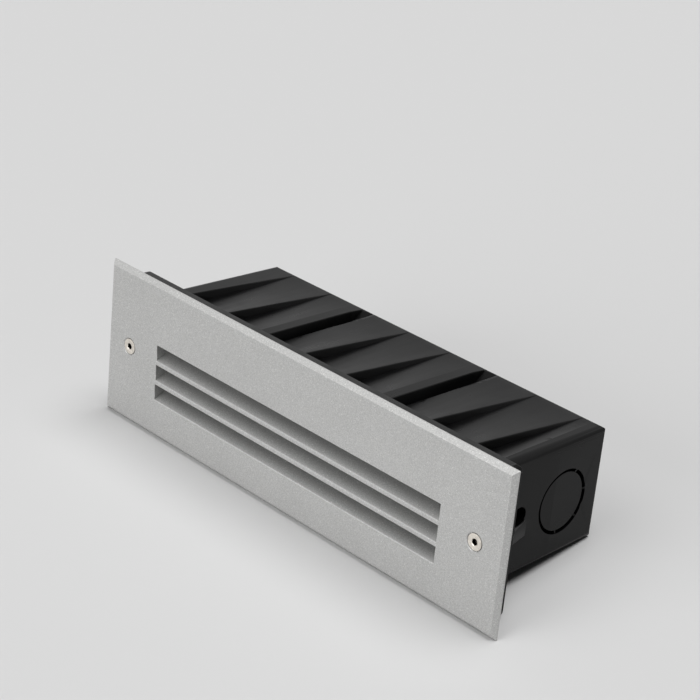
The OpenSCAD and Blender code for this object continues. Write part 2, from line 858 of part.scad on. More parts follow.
module face_gasket() {
  margin = face_seal_margin;
  color([0.08, 0.08, 0.08])
  difference() {
    slab(0, face_seal_t)
      rounded_rect(flange_w - 2 * margin, flange_h - 2 * margin, flange_corner);
    slab(-over, face_seal_t + over)
      rounded_rect(2 * cavity_half_w, 2 * cavity_half_h, flange_corner);
    both_ends()
      bar_y(screw_spacing / 2, 0, -over, face_seal_t + over, washer_d / 2 + washer_gap);
  }
}

module retaining_washers() {
  color([0.92, 0.92, 0.9])
  both_ends()
    difference() {
      bar_y(screw_spacing / 2, 0, washer_gap / 2, face_seal_t - washer_gap / 2, washer_d / 2);
      bar_y(screw_spacing / 2, 0, -over, face_seal_t + over, screw_r + run_clear);
    }
}

// Countersunk screw with a hexagon socket, captive in the plate
module fixing_screw(x) {
  color([0.8, 0.77, 0.72])
  difference() {
    union() {
      translate([x, head_y, 0])
        rotate([-90, 0, 0])
          cylinder(r1 = screw_head_d / 2, r2 = screw_r, h = head_h);
      bar_y(x, 0, head_y + head_h - eps, screw_end - screw_r / 2, screw_r);
      translate([x, screw_end - screw_r / 2 - eps, 0])
        rotate([-90, 0, 0])
          cylinder(r1 = screw_r, r2 = screw_r / 2, h = screw_r / 2 + eps);
    }
    hex_y(x, 0, head_y - over, head_y + screw_hex_depth, screw_hex);
  }
}

module fixing_screw_left() {
  fixing_screw(-screw_spacing / 2);
}

module fixing_screw_right() {
  fixing_screw(screw_spacing / 2);
}

module bay_corners() {
  for (x = [-bay_left + bay_screw_inset, bay_boss_x])
    for (sz = [-1, 1])
      translate([x, 0, sz * (chamber_half_h - bay_screw_inset)])
        children();
}

module lamp_housing() {
  color([0.55, 0.56, 0.57])
  difference() {
    union() {
      slab(rim_front, rim_depth)
        rect_between(-rim_half_w, rim_half_w, rim_bottom, rim_top, case_corner);
      slab(rim_depth - eps, chamber_back)
        rounded_rect(2 * chamber_half_w, 2 * chamber_half_h, case_corner);
      slab(chamber_back - eps, bay_back)
        rect_between(-bay_left, bay_right, -chamber_half_h, chamber_half_h, case_corner);
    }
    slab(rim_front - over, ledge_front)
      rect_between(-collar_half_w - fit_gap, collar_half_w + fit_gap,
        collar_bottom - fit_gap, collar_top + fit_gap, collar_floor + fit_gap);
    slab(ledge_front - eps, rim_depth + eps)
      rect_between(-collar_half_w + pane_seal_w, collar_half_w - pane_seal_w,
        -inner_half_h, collar_top - pane_seal_w, case_corner);
    slab(rim_depth, bulkhead_front)
      rounded_rect(2 * inner_half_w, 2 * inner_half_h, case_corner / 2);
    difference() {
      slab(chamber_back, bay_back + over)
        rect_between(bay_inner_left, bay_inner_right, -inner_half_h, inner_half_h, case_corner / 2);
      bay_corners()
        bar_y(0, 0, chamber_back - over, bay_back + 2 * over, small_boss_d / 2);
    }
    bay_corners()
      bar_y(0, 0, cover_back - cover_screw_len - blind_gap, bay_back + over, small_d / 2 + run_clear);
    for (sx = [-1, 1])
      for (sz = [-1, 1]) {
        bar_y(sx * rim_screw_x, sz * rim_screw_z, rim_front - over, plate_boss_len + fit_gap,
          small_boss_d / 2 + fit_gap / 3);
        bar_y(sx * rim_screw_x, sz * rim_screw_z, rim_front, rim_depth + over, small_d / 2 + run_clear);
      }
    bar_x(gland_y, 0, bay_inner_right - over, bay_right + over, gland_d / 2 + run_clear);
    bar_y(lead_x, lead_z, bulkhead_front - over, chamber_back + over, lead_hole_d / 2);
    bar_y(earth_x, earth_z, bulkhead_front + blind_skin, chamber_back + over, small_d / 2 + run_clear);
    for (s = [-1, 1])
      bar_y(driver_x + s * (driver_len + driver_lug) / 2, 0, bulkhead_front + blind_skin,
        chamber_back + over, board_screw_d / 2 + run_clear);
    for (s = [-1, 0, 1])
      translate([s * board_screw_x, board_front + board_w / 2, inner_half_h - eps])
        cylinder(r = board_screw_d / 2 + run_clear, h = case_wall - blind_skin + eps);
  }
}

module rim_gasket() {
  color([0.1, 0.1, 0.1])
  difference() {
    slab(0, rim_front)
      rect_between(-rim_half_w, rim_half_w, rim_bottom, rim_top, case_corner);
    slab(-over, rim_front + over)
      rect_between(-collar_half_w - fit_gap, collar_half_w + fit_gap,
        collar_bottom - fit_gap, collar_top + fit_gap, collar_floor + fit_gap);
    for (sx = [-1, 1])
      for (sz = [-1, 1])
        bar_y(sx * rim_screw_x, sz * rim_screw_z, -over, rim_front + over,
          small_boss_d / 2 + fit_gap / 3);
  }
}

module housing_screws() {
  color([0.75, 0.75, 0.76])
  for (sx = [-1, 1])
    for (sz = [-1, 1])
      pan_screw(sx * rim_screw_x, sz * rim_screw_z, rim_depth, rim_screw_len);
}

module lamp_pane() {
  color([0.95, 0.96, 0.97, 0.6])
  slab(pane_front, pane_back)
    rect_between(-collar_half_w, collar_half_w, collar_bottom, collar_top, collar_floor);
}

module pane_seal() {
  color([0.85, 0.85, 0.85])
  slab(pane_back, ledge_front)
    difference() {
      rect_between(-collar_half_w, collar_half_w, collar_bottom, collar_top, collar_floor);
      rect_between(-collar_half_w + pane_seal_w, collar_half_w - pane_seal_w,
        collar_bottom + pane_seal_w, collar_top - pane_seal_w, collar_floor);
    }
}

// Sheet that throws the light forwards. It stands upright at the
// bulkhead's top and curves down to the chamber's front floor
module mirror_sheet() {
  rotate([90, 0, 90])
    linear_extrude(2 * (inner_half_w - fit_gap), center = true)
      intersection() {
        translate([mirror_top_y - mirror_r, mirror_half_h])
          difference() {
            circle(mirror_r + mirror_t, $fn = mirror_fn);
            circle(mirror_r, $fn = mirror_fn);
          }
        translate([mirror_foot_y - mirror_t, -mirror_half_h])
          square([mirror_run + 2 * mirror_t, 2 * mirror_half_h]);
      }
}

module reflector() {
  color([0.93, 0.93, 0.94])
  difference() {
    mirror_sheet();
    bar_y(lead_x, lead_z, mirror_foot_y, chamber_back, lead_hole_d / 2 + grommet_lip);
  }
}

module lamp_board() {
  color([0.95, 0.95, 0.93])
  difference() {
    translate([-board_len / 2, board_front, board_bottom])
      cube([board_len, board_w, board_t]);
    for (s = [-1, 0, 1])
      translate([s * board_screw_x, board_front + board_w / 2, board_bottom - over])
        cylinder(r = board_screw_d / 2 + run_clear, h = board_t + 2 * over);
  }
}

module diodes() {
  color([0.98, 0.85, 0.35])
  for (i = [0:led_count - 1])
    translate([(i - (led_count - 1) / 2) * led_pitch, board_front + board_w / 2, board_bottom])
      translate([0, 0, -led_h / 2])
        cube([led_w, led_w, led_h], center = true);
}

module heat_pad() {
  color([0.55, 0.7, 0.75])
  difference() {
    translate([-board_len / 2, board_front, board_top])
      cube([board_len, board_w, pad_t]);
    for (s = [-1, 0, 1])
      translate([s * board_screw_x, board_front + board_w / 2, board_top - over])
        cylinder(r = board_screw_d / 2 + run_clear, h = pad_t + 2 * over);
  }
}

module board_screws() {
  color([0.75, 0.75, 0.76])
  for (s = [-1, 0, 1])
    translate([s * board_screw_x, board_front + board_w / 2, 0]) {
      translate([0, 0, board_bottom - flat_head_t])
        cylinder(d = flat_head_d, h = flat_head_t);
      translate([0, 0, board_bottom - eps])
        cylinder(d = board_screw_d, h = board_t + pad_t + case_wall - blind_skin - blind_gap);
    }
}

module driver() {
  z = driver_h / 2;
  y1 = chamber_back + driver_t;
  color([0.9, 0.9, 0.88])
  difference() {
    union() {
      slab(chamber_back, y1)
        rect_between(driver_x - driver_len / 2, driver_x + driver_len / 2, -z, z, case_corner / 2);
      slab(chamber_back, chamber_back + driver_lug_t)
        rect_between(driver_x - driver_len / 2 - driver_lug, driver_x + driver_len / 2 + driver_lug,
          -driver_lug, driver_lug, case_corner / 2);
    }
    for (s = [-1, 1])
      bar_y(driver_x + s * (driver_len + driver_lug) / 2, 0, chamber_back - over,
        chamber_back + driver_lug_t + over, board_screw_d / 2 + run_clear);
  }
}

module driver_screws() {
  seat = chamber_back + driver_lug_t;
  color([0.75, 0.75, 0.76])
  for (s = [-1, 1]) {
    x = driver_x + s * (driver_len + driver_lug) / 2;
    bar_y(x, 0, seat, seat + flat_head_t, flat_head_d / 2);
    bar_y(x, 0, bulkhead_front + blind_skin + blind_gap, seat + eps, board_screw_d / 2);
  }
}

module rear_cover() {
  color([0.55, 0.56, 0.57])
  difference() {
    slab(cover_front, cover_back)
      rect_between(-bay_left, bay_right, -chamber_half_h, chamber_half_h, case_corner);
    bay_corners()
      bar_y(0, 0, cover_front - over, cover_back + over, small_d / 2 + run_clear);
  }
}

module cover_gasket() {
  color([0.1, 0.1, 0.1])
  difference() {
    slab(bay_back, cover_front)
      rect_between(-bay_left, bay_right, -chamber_half_h, chamber_half_h, case_corner);
    difference() {
      slab(bay_back - over, cover_front + over)
        rect_between(bay_inner_left, bay_inner_right, -inner_half_h, inner_half_h, case_corner / 2);
      bay_corners()
        bar_y(0, 0, bay_back - 2 * over, cover_front + 2 * over, small_boss_d / 2);
    }
    bay_corners()
      bar_y(0, 0, bay_back - over, cover_front + over, small_d / 2 + run_clear);
  }
}

module cover_screws() {
  color([0.75, 0.75, 0.76])
  bay_corners()
    pan_screw(0, 0, cover_back, cover_screw_len);
}

// Quarter bend of a lead from +X to -Y, ending at x, y
module bend_back(x, y, z, radius) {
  translate([x - radius, y, z])
    rotate_extrude(angle = 90)
      translate([radius, 0])
        circle(d = lead_d);
}

// Quarter bend of a lead from -Y to +Z, ending at y, z
module bend_up(x, y, z, radius) {
  translate([x, y + radius, z])
    rotate([0, 90, 0])
      rotate([0, 0, -90])
        rotate_extrude(angle = 90)
          translate([radius, 0])
            circle(d = lead_d);
}

// One insulated lead, from the driver's end through the grommet to the
// lamp board's face; side is -1 or 1
module lamp_lead(side) {
  x = lead_x + side * lead_gap / 2;
  near = lead_bend + (side + 1) / 2 * lead_gap;
  y = lead_exit_y - lead_bend;
  board_y = board_front + board_w - lead_d;
  translate([driver_end, y + near, lead_z])
    rotate([0, 90, 0])
      cylinder(d = lead_d, h = x - near - driver_end);
  bend_back(x, y, lead_z, near);
  bar_y(x, lead_z, board_y + lead_up, y, lead_d / 2);
  bend_up(x, board_y, lead_z + lead_up, lead_up);
  translate([x, board_y, lead_z + lead_up])
    cylinder(d = lead_d, h = board_bottom - lead_z - lead_up);
}

module lamp_leads() {
  color([0.7, 0.15, 0.12])
  for (side = [-1, 1])
    lamp_lead(side);
}

// Rubber ring with a groove, snapped into the bulkhead
module lead_grommet() {
  r = lead_hole_d / 2;
  color([0.12, 0.12, 0.12])
  translate([lead_x, bulkhead_front, lead_z])
    rotate([-90, 0, 0])
      rotate_extrude()
        polygon([
          [r - grommet_wall, -grommet_lip], [r + grommet_lip / 2, -grommet_lip],
          [r + grommet_lip / 2, 0], [r, 0], [r, case_wall],
          [r + grommet_lip, case_wall], [r + grommet_lip, case_wall + grommet_lip],
          [r - grommet_wall, case_wall + grommet_lip]
        ]);
}

module terminal_positions() {
  for (i = [0:terminal_count - 1])
    translate([terminal_x + (i - (terminal_count - 1) / 2) * terminal_pitch, 0, 0])
      children();
}

module terminal_block() {
  y1 = chamber_back + terminal_t;
  half_h = terminal_h / 2;
  color([0.92, 0.92, 0.88])
  difference() {
    slab(chamber_back, y1)
      rect_between(terminal_x - terminal_len / 2, terminal_x + terminal_len / 2,
        -half_h, half_h, case_corner / 2);
    terminal_positions() {
      translate([0, chamber_back + terminal_t / 2, -half_h - over])
        cylinder(d = terminal_bore, h = terminal_h + 2 * over);
      bar_y(0, terminal_screw_z, chamber_back + terminal_t / 2, y1 + over, terminal_bore / 2);
    }
  }
}

module terminal_screws() {
  y0 = chamber_back + terminal_t / 2 + terminal_bore / 2;
  y1 = chamber_back + terminal_t - terminal_sink;
  color([0.8, 0.68, 0.35])
  terminal_positions()
    difference() {
      bar_y(0, terminal_screw_z, y0, y1, terminal_bore / 2 - run_clear);
      translate([0, y1, terminal_screw_z])
        cube([terminal_bore, 2 * terminal_slot, cross_w], center = true);
    }
}

module earth_tag() {
  color([0.82, 0.8, 0.72])
  slab(chamber_back, chamber_back + tag_t)
    translate([earth_x, earth_z])
      difference() {
        union() {
          circle(small_d / 2 + tag_ring);
          translate([0, -small_d / 2])
            square([tag_len, small_d]);
        }
        circle(small_d / 2 + run_clear);
      }
}

module earth_screw() {
  color([0.35, 0.6, 0.3])
  pan_screw(earth_x, earth_z, chamber_back + tag_t, case_wall + tag_t - blind_skin - blind_gap);
}

module gland_body() {
  x0 = gland_thread_end;
  x1 = gland_seat;
  x2 = gland_seat + gland_flange_t;
  x3 = x2 + gland_outer_len;
  color([0.75, 0.73, 0.68])
  difference() {
    union() {
      bar_x(gland_y, 0, x0, x3, gland_d / 2);
      hex_x(gland_y, 0, x1, x2, gland_hex);
    }
    bar_x(gland_y, 0, x0 - over, x3 + over, gland_bore / 2 + fit_gap);
    bar_x(gland_y, 0, x3 - gland_seal_len, x3 + over, gland_seal_d / 2);
  }
}

module gland_washer() {
  color([0.1, 0.1, 0.1])
  difference() {
    bar_x(gland_y, 0, bay_right, gland_seat, gland_hex / 2);
    bar_x(gland_y, 0, bay_right - over, gland_seat + over, gland_d / 2 + run_clear);
  }
}

module gland_locknut() {
  color([0.75, 0.73, 0.68])
  difference() {
    hex_x(gland_y, 0, bay_inner_right - gland_lock_t, bay_inner_right, gland_hex);
    bar_x(gland_y, 0, bay_inner_right - gland_lock_t - over, bay_right, gland_d / 2 + run_clear);
  }
}

module gland_seal() {
  x1 = gland_seat + gland_flange_t + gland_outer_len;
  color([0.1, 0.1, 0.1])
  difference() {
    bar_x(gland_y, 0, x1 - gland_seal_len, x1, gland_seal_d / 2);
    bar_x(gland_y, 0, x1 - gland_seal_len - over, x1 + over, gland_bore / 2);
  }
}

// Domed nut that squeezes the seal round a cord
module gland_nut() {
  x0 = gland_seat + gland_flange_t + fit_gap;
  x1 = x0 + gland_nut_len;
  bore_end = gland_seat + gland_flange_t + gland_outer_len + fit_gap;
  dome = (gland_hex - gland_bore) / 4;
  color([0.75, 0.73, 0.68])
  difference() {
    intersection() {
      hex_x(gland_y, 0, x0, x1, gland_hex);
      union() {
        bar_x(gland_y, 0, x0, x1 - dome, gland_hex / 2 / cos(30));
        translate([x1 - dome, gland_y, 0])
          rotate([0, 90, 0])
            cylinder(r1 = gland_hex / 2 / cos(30), r2 = gland_hex / 2 / cos(30) - dome, h = dome);
      }
    }
    bar_x(gland_y, 0, x0 - over, bore_end, gland_d / 2 + run_clear);
    bar_x(gland_y, 0, x0, x1 + over, gland_bore / 2 + 2 * fit_gap);
  }
}

mounting_box();
threaded_inserts();
faceplate();
face_gasket();
retaining_washers();
fixing_screw_left();
fixing_screw_right();
lamp_housing();
rim_gasket();
housing_screws();
lamp_pane();
pane_seal();
reflector();
lamp_board();
diodes();
heat_pad();
board_screws();
driver();
driver_screws();
lamp_leads();
lead_grommet();
terminal_block();
terminal_screws();
earth_tag();
earth_screw();
rear_cover();
cover_gasket();
cover_screws();
gland_body();
gland_washer();
gland_locknut();
gland_seal();
gland_nut();
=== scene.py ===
import json
import math

import bmesh
import bpy
import numpy as np
from mathutils import Matrix, Vector


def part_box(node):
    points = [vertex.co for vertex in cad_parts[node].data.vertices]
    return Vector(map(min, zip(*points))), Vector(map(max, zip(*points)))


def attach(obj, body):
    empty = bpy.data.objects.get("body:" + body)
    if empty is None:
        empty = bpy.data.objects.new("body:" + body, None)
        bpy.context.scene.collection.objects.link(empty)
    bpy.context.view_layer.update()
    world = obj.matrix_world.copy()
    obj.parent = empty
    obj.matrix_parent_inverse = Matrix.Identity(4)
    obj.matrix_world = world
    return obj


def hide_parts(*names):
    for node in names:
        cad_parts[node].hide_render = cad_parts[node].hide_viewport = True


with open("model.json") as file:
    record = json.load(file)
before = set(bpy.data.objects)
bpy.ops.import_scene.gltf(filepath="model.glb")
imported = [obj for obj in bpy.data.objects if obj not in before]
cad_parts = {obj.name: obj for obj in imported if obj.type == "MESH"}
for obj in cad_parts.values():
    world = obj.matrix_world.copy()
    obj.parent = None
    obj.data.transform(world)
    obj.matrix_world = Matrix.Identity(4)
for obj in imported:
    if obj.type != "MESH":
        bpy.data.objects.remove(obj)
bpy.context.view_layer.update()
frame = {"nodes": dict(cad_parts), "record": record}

# A recessed step light: silver-grey louvred faceplate, sealed lamp housing and
# ribbed black mounting box. Metres, origin on the wall plane at the middle of
# the faceplate, +X to the right, +Y into the wall, +Z up.

RECORD = frame["record"]
NODES = frame["nodes"]
BODY_OF = {
    node: body
    for body, members in RECORD["behaviour"]["bodies"].items() for node in members
}
SLOT_OF = {part["node"]: part["material_slot"] for part in RECORD["subparts"]}

MM = 0.001


def smooth_step(value, start, end):
    """0 before start, 1 after end, and an even S between them."""
    share = np.clip((value - start) / (end - start), 0, 1)
    return share * share * (3 - 2 * share)


def node_box(node):
    """The lowest and highest corner of a CAD node as numpy arrays."""
    low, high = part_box(node)
    return np.array(low), np.array(high)


PLATE_LOW = node_box("faceplate")[0]
PLATE_FRONT = PLATE_LOW[1]
BOX_BACK = node_box("mounting_box")[1][1]
SCREW_LOW, SCREW_HIGH = node_box("fixing_screw_right")
SCREW_X = (SCREW_LOW[0] + SCREW_HIGH[0]) / 2
SCREW_FRONT = SCREW_LOW[1]
SCREW_LENGTH = SCREW_HIGH[1] - SCREW_FRONT


# Studio

# The camera, as fitted to the straight edges in the photograph
PHOTO_PIXELS = 700
FOCAL_PIXELS = 2068.0
SENSOR = 36.0
CAMERA_AZIMUTH = math.radians(44.25)
CAMERA_ELEVATION = math.radians(23.73)
CAMERA_ROLL = math.radians(5.75)
CAMERA_DISTANCE = 805.3 * MM
CAMERA_SIDEWAYS = 24.1 * MM
CAMERA_UPWARDS = 33.7 * MM
NEAREST_SEEN, FURTHEST_SEEN = 0.01, 50

# The tones of the background and of the floor's paper, and the faint sky
BACKDROP = 0.68
PAPER = 0.69
SKY_LIGHT = 0.04
FLOOR_HALF = 12.0
# Each light: the direction that it comes from, its strength, its spread in degrees
LIGHTS = {
    "key_light": ((0.15, 0.10, 0.98), 2.3, 40),
    "high_light": ((-0.22, -0.50, 0.82), 0.5, 40),
    "fill_light": ((-0.14, -0.97, 0.08), 1.5, 50),
}


def camera():
    """Places the camera on a sphere round the middle of the plate's front,
    then moves it sideways and upwards in its own image plane."""
    az, el, roll = CAMERA_AZIMUTH, CAMERA_ELEVATION, CAMERA_ROLL
    back = Vector((math.sin(az) * math.cos(el), -math.cos(az) * math.cos(el), math.sin(el)))
    level = Vector((math.cos(az), math.sin(az), 0))
    upright = back.cross(level)
    side = level * math.cos(roll) + upright * math.sin(roll)
    top = upright * math.cos(roll) - level * math.sin(roll)
    place = back * CAMERA_DISTANCE + side * CAMERA_SIDEWAYS + top * CAMERA_UPWARDS
    place += Vector((0, PLATE_FRONT, 0))
    data = bpy.data.cameras.new("camera")
    data.sensor_width = SENSOR
    data.lens = FOCAL_PIXELS * SENSOR / PHOTO_PIXELS
    data.clip_start = NEAREST_SEEN
    data.clip_end = FURTHEST_SEEN
    eye = bpy.data.objects.new("camera", data)
    turn = Matrix((side, top, back)).transposed().to_4x4()
    eye.matrix_world = Matrix.Translation(place) @ turn
    bpy.context.scene.collection.objects.link(eye)
    bpy.context.scene.camera = eye


def sun(name, towards, strength, spread):
    """A sun whose light comes from the direction towards, with soft edges."""
    data = bpy.data.lights.new(name, "SUN")
    data.energy = strength
    data.angle = math.radians(spread)
    lamp = bpy.data.objects.new(name, data)
    lamp.rotation_mode = "QUATERNION"
    lamp.rotation_quaternion = Vector(towards).to_track_quat("Z", "Y")
    bpy.context.scene.collection.objects.link(lamp)


def floor_tilt():
    """The light rests on the plate's lower edge and on the round lower edge of
    the box's back: the tilt of the plane that touches both."""
    front = np.array([0.0, PLATE_LOW[2]])
    round_start = BOX_BACK - REAR_ROUND
    rear_foot = -half_height(round_start) * (1 + lower_stretch(round_start))
    reach = np.array([round_start, rear_foot + REAR_ROUND]) - front
    return math.atan2(reach[1], reach[0]) - math.asin(REAR_ROUND / np.hypot(*reach))


def floor_paper():
    """Even pale paper. From below it is clear, so that the underside shows."""
    paper = bpy.data.materials.new("floor_paper")
    paper.use_nodes = True
    tree = paper.node_tree
    shader = tree.nodes["Principled BSDF"]
    shader.inputs["Base Color"].default_value = (PAPER, PAPER, PAPER, 1)
    shader.inputs["Roughness"].default_value = 1
    shader.inputs["Specular IOR Level"].default_value = 0
    clear = tree.nodes.new("ShaderNodeBsdfTransparent")
    side = tree.nodes.new("ShaderNodeNewGeometry")
    mix = tree.nodes.new("ShaderNodeMixShader")
    tree.links.new(side.outputs["Backfacing"], mix.inputs[0])
    tree.links.new(shader.outputs[0], mix.inputs[1])
    tree.links.new(clear.outputs[0], mix.inputs[2])
    tree.links.new(mix.outputs[0], tree.nodes["Material Output"].inputs["Surface"])
    return paper


def sky():
    """An even background for the camera, for reflections and through the
    pane, and a faint light from all round."""
    world = bpy.data.worlds.new("studio")
    bpy.context.scene.world = world
    world.use_nodes = True
    tree = world.node_tree
    path = tree.nodes.new("ShaderNodeLightPath")
    seen = path.outputs["Is Camera Ray"]
    for ray in ("Is Glossy Ray", "Is Transmission Ray"):
        either = tree.nodes.new("ShaderNodeMath")
        either.operation = "MAXIMUM"
        tree.links.new(seen, either.inputs[0])
        tree.links.new(path.outputs[ray], either.inputs[1])
        seen = either.outputs[0]
    level = tree.nodes.new("ShaderNodeMapRange")
    level.inputs["To Min"].default_value = SKY_LIGHT
    level.inputs["To Max"].default_value = BACKDROP
    tree.links.new(seen, level.inputs["Value"])
    shade = tree.nodes["Background"]
    shade.inputs["Color"].default_value = (1, 1, 1, 1)
    tree.links.new(level.outputs["Result"], shade.inputs["Strength"])


def studio():
    """Pale floor, even background, a large soft light above, two weaker ones
    from the front, one high and one low, and a faint sky."""
    tilt = floor_tilt()
    across = np.array([-FLOOR_HALF, FLOOR_HALF])
    u, v = np.meshgrid(across, across, indexing="ij")
    points = np.stack([u, v * math.cos(tilt), PLATE_LOW[2] + v * math.sin(tilt)], -1)
    floor = grid_piece("floor", points)
    floor.data.materials.append(floor_paper())
    for name, (towards, strength, spread) in LIGHTS.items():
        sun(name, towards, strength, spread)
    sky()
    bpy.context.scene.view_settings.view_transform = "Standard"


# Finishes: every pattern reads Object coordinates, in metres

# The places on a noise between which a tone goes from its first to its second
FIRST_STOP, SECOND_STOP = 0.3, 0.7


class Finish:
    """A Principled material under construction. Its methods add one node
    each and hand back the socket that carries the result."""

    def __init__(self, name, roughness, metallic=0.0, specular=0.5):
        self.material = bpy.data.materials.new(name)
        self.material.use_nodes = True
        self.tree = self.material.node_tree
        self.shader = self.tree.nodes["Principled BSDF"]
        self.constant("Roughness", roughness)
        self.constant("Metallic", metallic)
        self.constant("Specular IOR Level", specular)
        self.place = self.tree.nodes.new("ShaderNodeTexCoord").outputs["Object"]

    def constant(self, socket, value):
        """Sets a value that is the same all over the piece."""
        self.shader.inputs[socket].default_value = value

    def link(self, source, socket):
        """Links a pattern to a socket of the shader."""
        self.tree.links.new(source, self.shader.inputs[socket])

    def stretched(self, scale):
        """The place on the piece, times a scale along each axis."""
        node = self.tree.nodes.new("ShaderNodeMapping")
        node.inputs["Scale"].default_value = scale
        self.tree.links.new(self.place, node.inputs["Vector"])
        return node.outputs["Vector"]

    def noise(self, grain, detail=2.0, rough=0.5, place=None):
        """Noise whose grains are about grain metres across, from 0 to 1."""
        node = self.tree.nodes.new("ShaderNodeTexNoise")
        node.inputs["Scale"].default_value = 1 / grain
        node.inputs["Detail"].default_value = detail
        node.inputs["Roughness"].default_value = rough
        self.tree.links.new(place or self.place, node.inputs["Vector"])
        return node.outputs["Fac"]

    def flakes(self, size):
        """A random grey for each cell of about size metres."""
        node = self.tree.nodes.new("ShaderNodeTexVoronoi")
        node.inputs["Scale"].default_value = 1 / size
        self.tree.links.new(self.place, node.inputs["Vector"])
        part = self.tree.nodes.new("ShaderNodeSeparateColor")
        self.tree.links.new(node.outputs["Color"], part.inputs[0])
        return part.outputs[0]

    def ramp(self, value, *stops):
        """Colours or greys between stops of (position, grey or colour)."""
        node = self.tree.nodes.new("ShaderNodeValToRGB")
        line = node.color_ramp.elements
        while len(line) < len(stops):
            line.new(0.5)
        for mark, (position, shade) in zip(line, stops):
            mark.position = position
            mark.color = (*shade, 1) if isinstance(shade, tuple) else (shade, shade, shade, 1)
        self.tree.links.new(value, node.inputs[0])
        return node.outputs[0]

    def between(self, noise, first, second):
        """Two greys or colours that follow a noise."""
        return self.ramp(noise, (FIRST_STOP, first), (SECOND_STOP, second))

    def sum(self, kind, first, second=0.0):
        """Math on two sockets, or on a socket and a number."""
        node = self.tree.nodes.new("ShaderNodeMath")
        node.operation = kind
        for socket, value in zip(node.inputs, (first, second)):
            if isinstance(value, (int, float)):
                socket.default_value = value
            else:
                self.tree.links.new(value, socket)
        return node.outputs[0]

    def mix(self, factor, first, second, kind="MIX"):
        """Mixes two colours, each a socket or three numbers."""
        node = self.tree.nodes.new("ShaderNodeMix")
        node.data_type = "RGBA"
        node.blend_type = kind
        factor_socket, first_socket, second_socket = (node.inputs[i] for i in (0, 6, 7))
        pairs = ((factor_socket, factor), (first_socket, first), (second_socket, second))
        for socket, value in pairs:
            if isinstance(value, (int, float)):
                socket.default_value = value
            elif isinstance(value, tuple):
                socket.default_value = (*value, 1)
            else:
                self.tree.links.new(value, socket)
        return node.outputs[2]

    def relief(self, height, depth, strength):
        """A bump whose full height is depth metres."""
        node = self.tree.nodes.new("ShaderNodeBump")
        node.inputs["Strength"].default_value = strength
        node.inputs["Distance"].default_value = depth
        self.tree.links.new(height, node.inputs["Height"])
        self.link(node.outputs[0], "Normal")


def silver_grey(share):
    """The coat's silver-grey, a little warm, at a brightness."""
    return (share, share, 0.985 * share)


def plate_coat():
    """Fine textured silver powder coat: bright and dark specks of about half
    a millimetre, a slow unevenness and an orange-peel relief."""
    coat = Finish("plate_coat", roughness=0.5, metallic=0.8, specular=0.4)
    specks = coat.noise(0.42 * MM, rough=0.6)
    colour = coat.ramp(
        specks, (0.34, silver_grey(0.45)), (0.5, silver_grey(0.52)), (0.66, silver_grey(0.59)),
    )
    glints = coat.ramp(coat.flakes(0.3 * MM), (0.0, 0.0), (0.955, 0.0), (0.975, 1.0))
    colour = coat.mix(coat.sum("MULTIPLY", glints, 0.4), colour, (0.92, 0.92, 0.90))
    cloud = coat.between(coat.noise(28 * MM), 0.965, 1.0)
    colour = coat.mix(1.0, colour, cloud, kind="MULTIPLY")
    coat.link(colour, "Base Color")
    coat.link(coat.between(specks, 0.56, 0.42), "Roughness")
    coat.relief(coat.noise(0.5 * MM), 0.02 * MM, 0.6)
    return coat.material


def box_plastic():
    """Satin black moulded plastic: a fine spark-eroded texture, faint flow
    streaks along the draw, and slightly polished patches."""
    plastic = Finish("box_plastic", roughness=0.3, specular=0.145)
    streaks = plastic.noise(
        3.5 * MM, detail=3, rough=0.6, place=plastic.stretched((1, 0.10, 1)),
    )
    cloud = plastic.noise(16 * MM, detail=3)
    mottle = plastic.sum(
        "ADD", plastic.sum("MULTIPLY", streaks, 0.55), plastic.sum("MULTIPLY", cloud, 0.45),
    )
    colour = plastic.ramp(
        mottle, (0.35, (0.0010, 0.0010, 0.0011)), (0.65, (0.0022, 0.0022, 0.0023)),
    )
    grain = plastic.noise(0.3 * MM)
    colour = plastic.mix(1.0, colour, plastic.between(grain, 0.82, 1.12), kind="MULTIPLY")
    plastic.link(colour, "Base Color")
    plastic.link(plastic.between(mottle, 0.25, 0.38), "Roughness")
    plastic.relief(grain, 0.012 * MM, 0.5)
    return plastic.material


# On the fixing screws: the turned rings, the radius inside which the socket has painted shade,
# the depth at which that painted shade is darkest, and the radius that the painted shadow line
# round the head is read on
RING_PITCH = 0.16 * MM
SOCKET_MOUTH = 1.5 * MM
SOCKET_DARKEST = 0.7 * MM
RIM_SCALE = 5 * MM


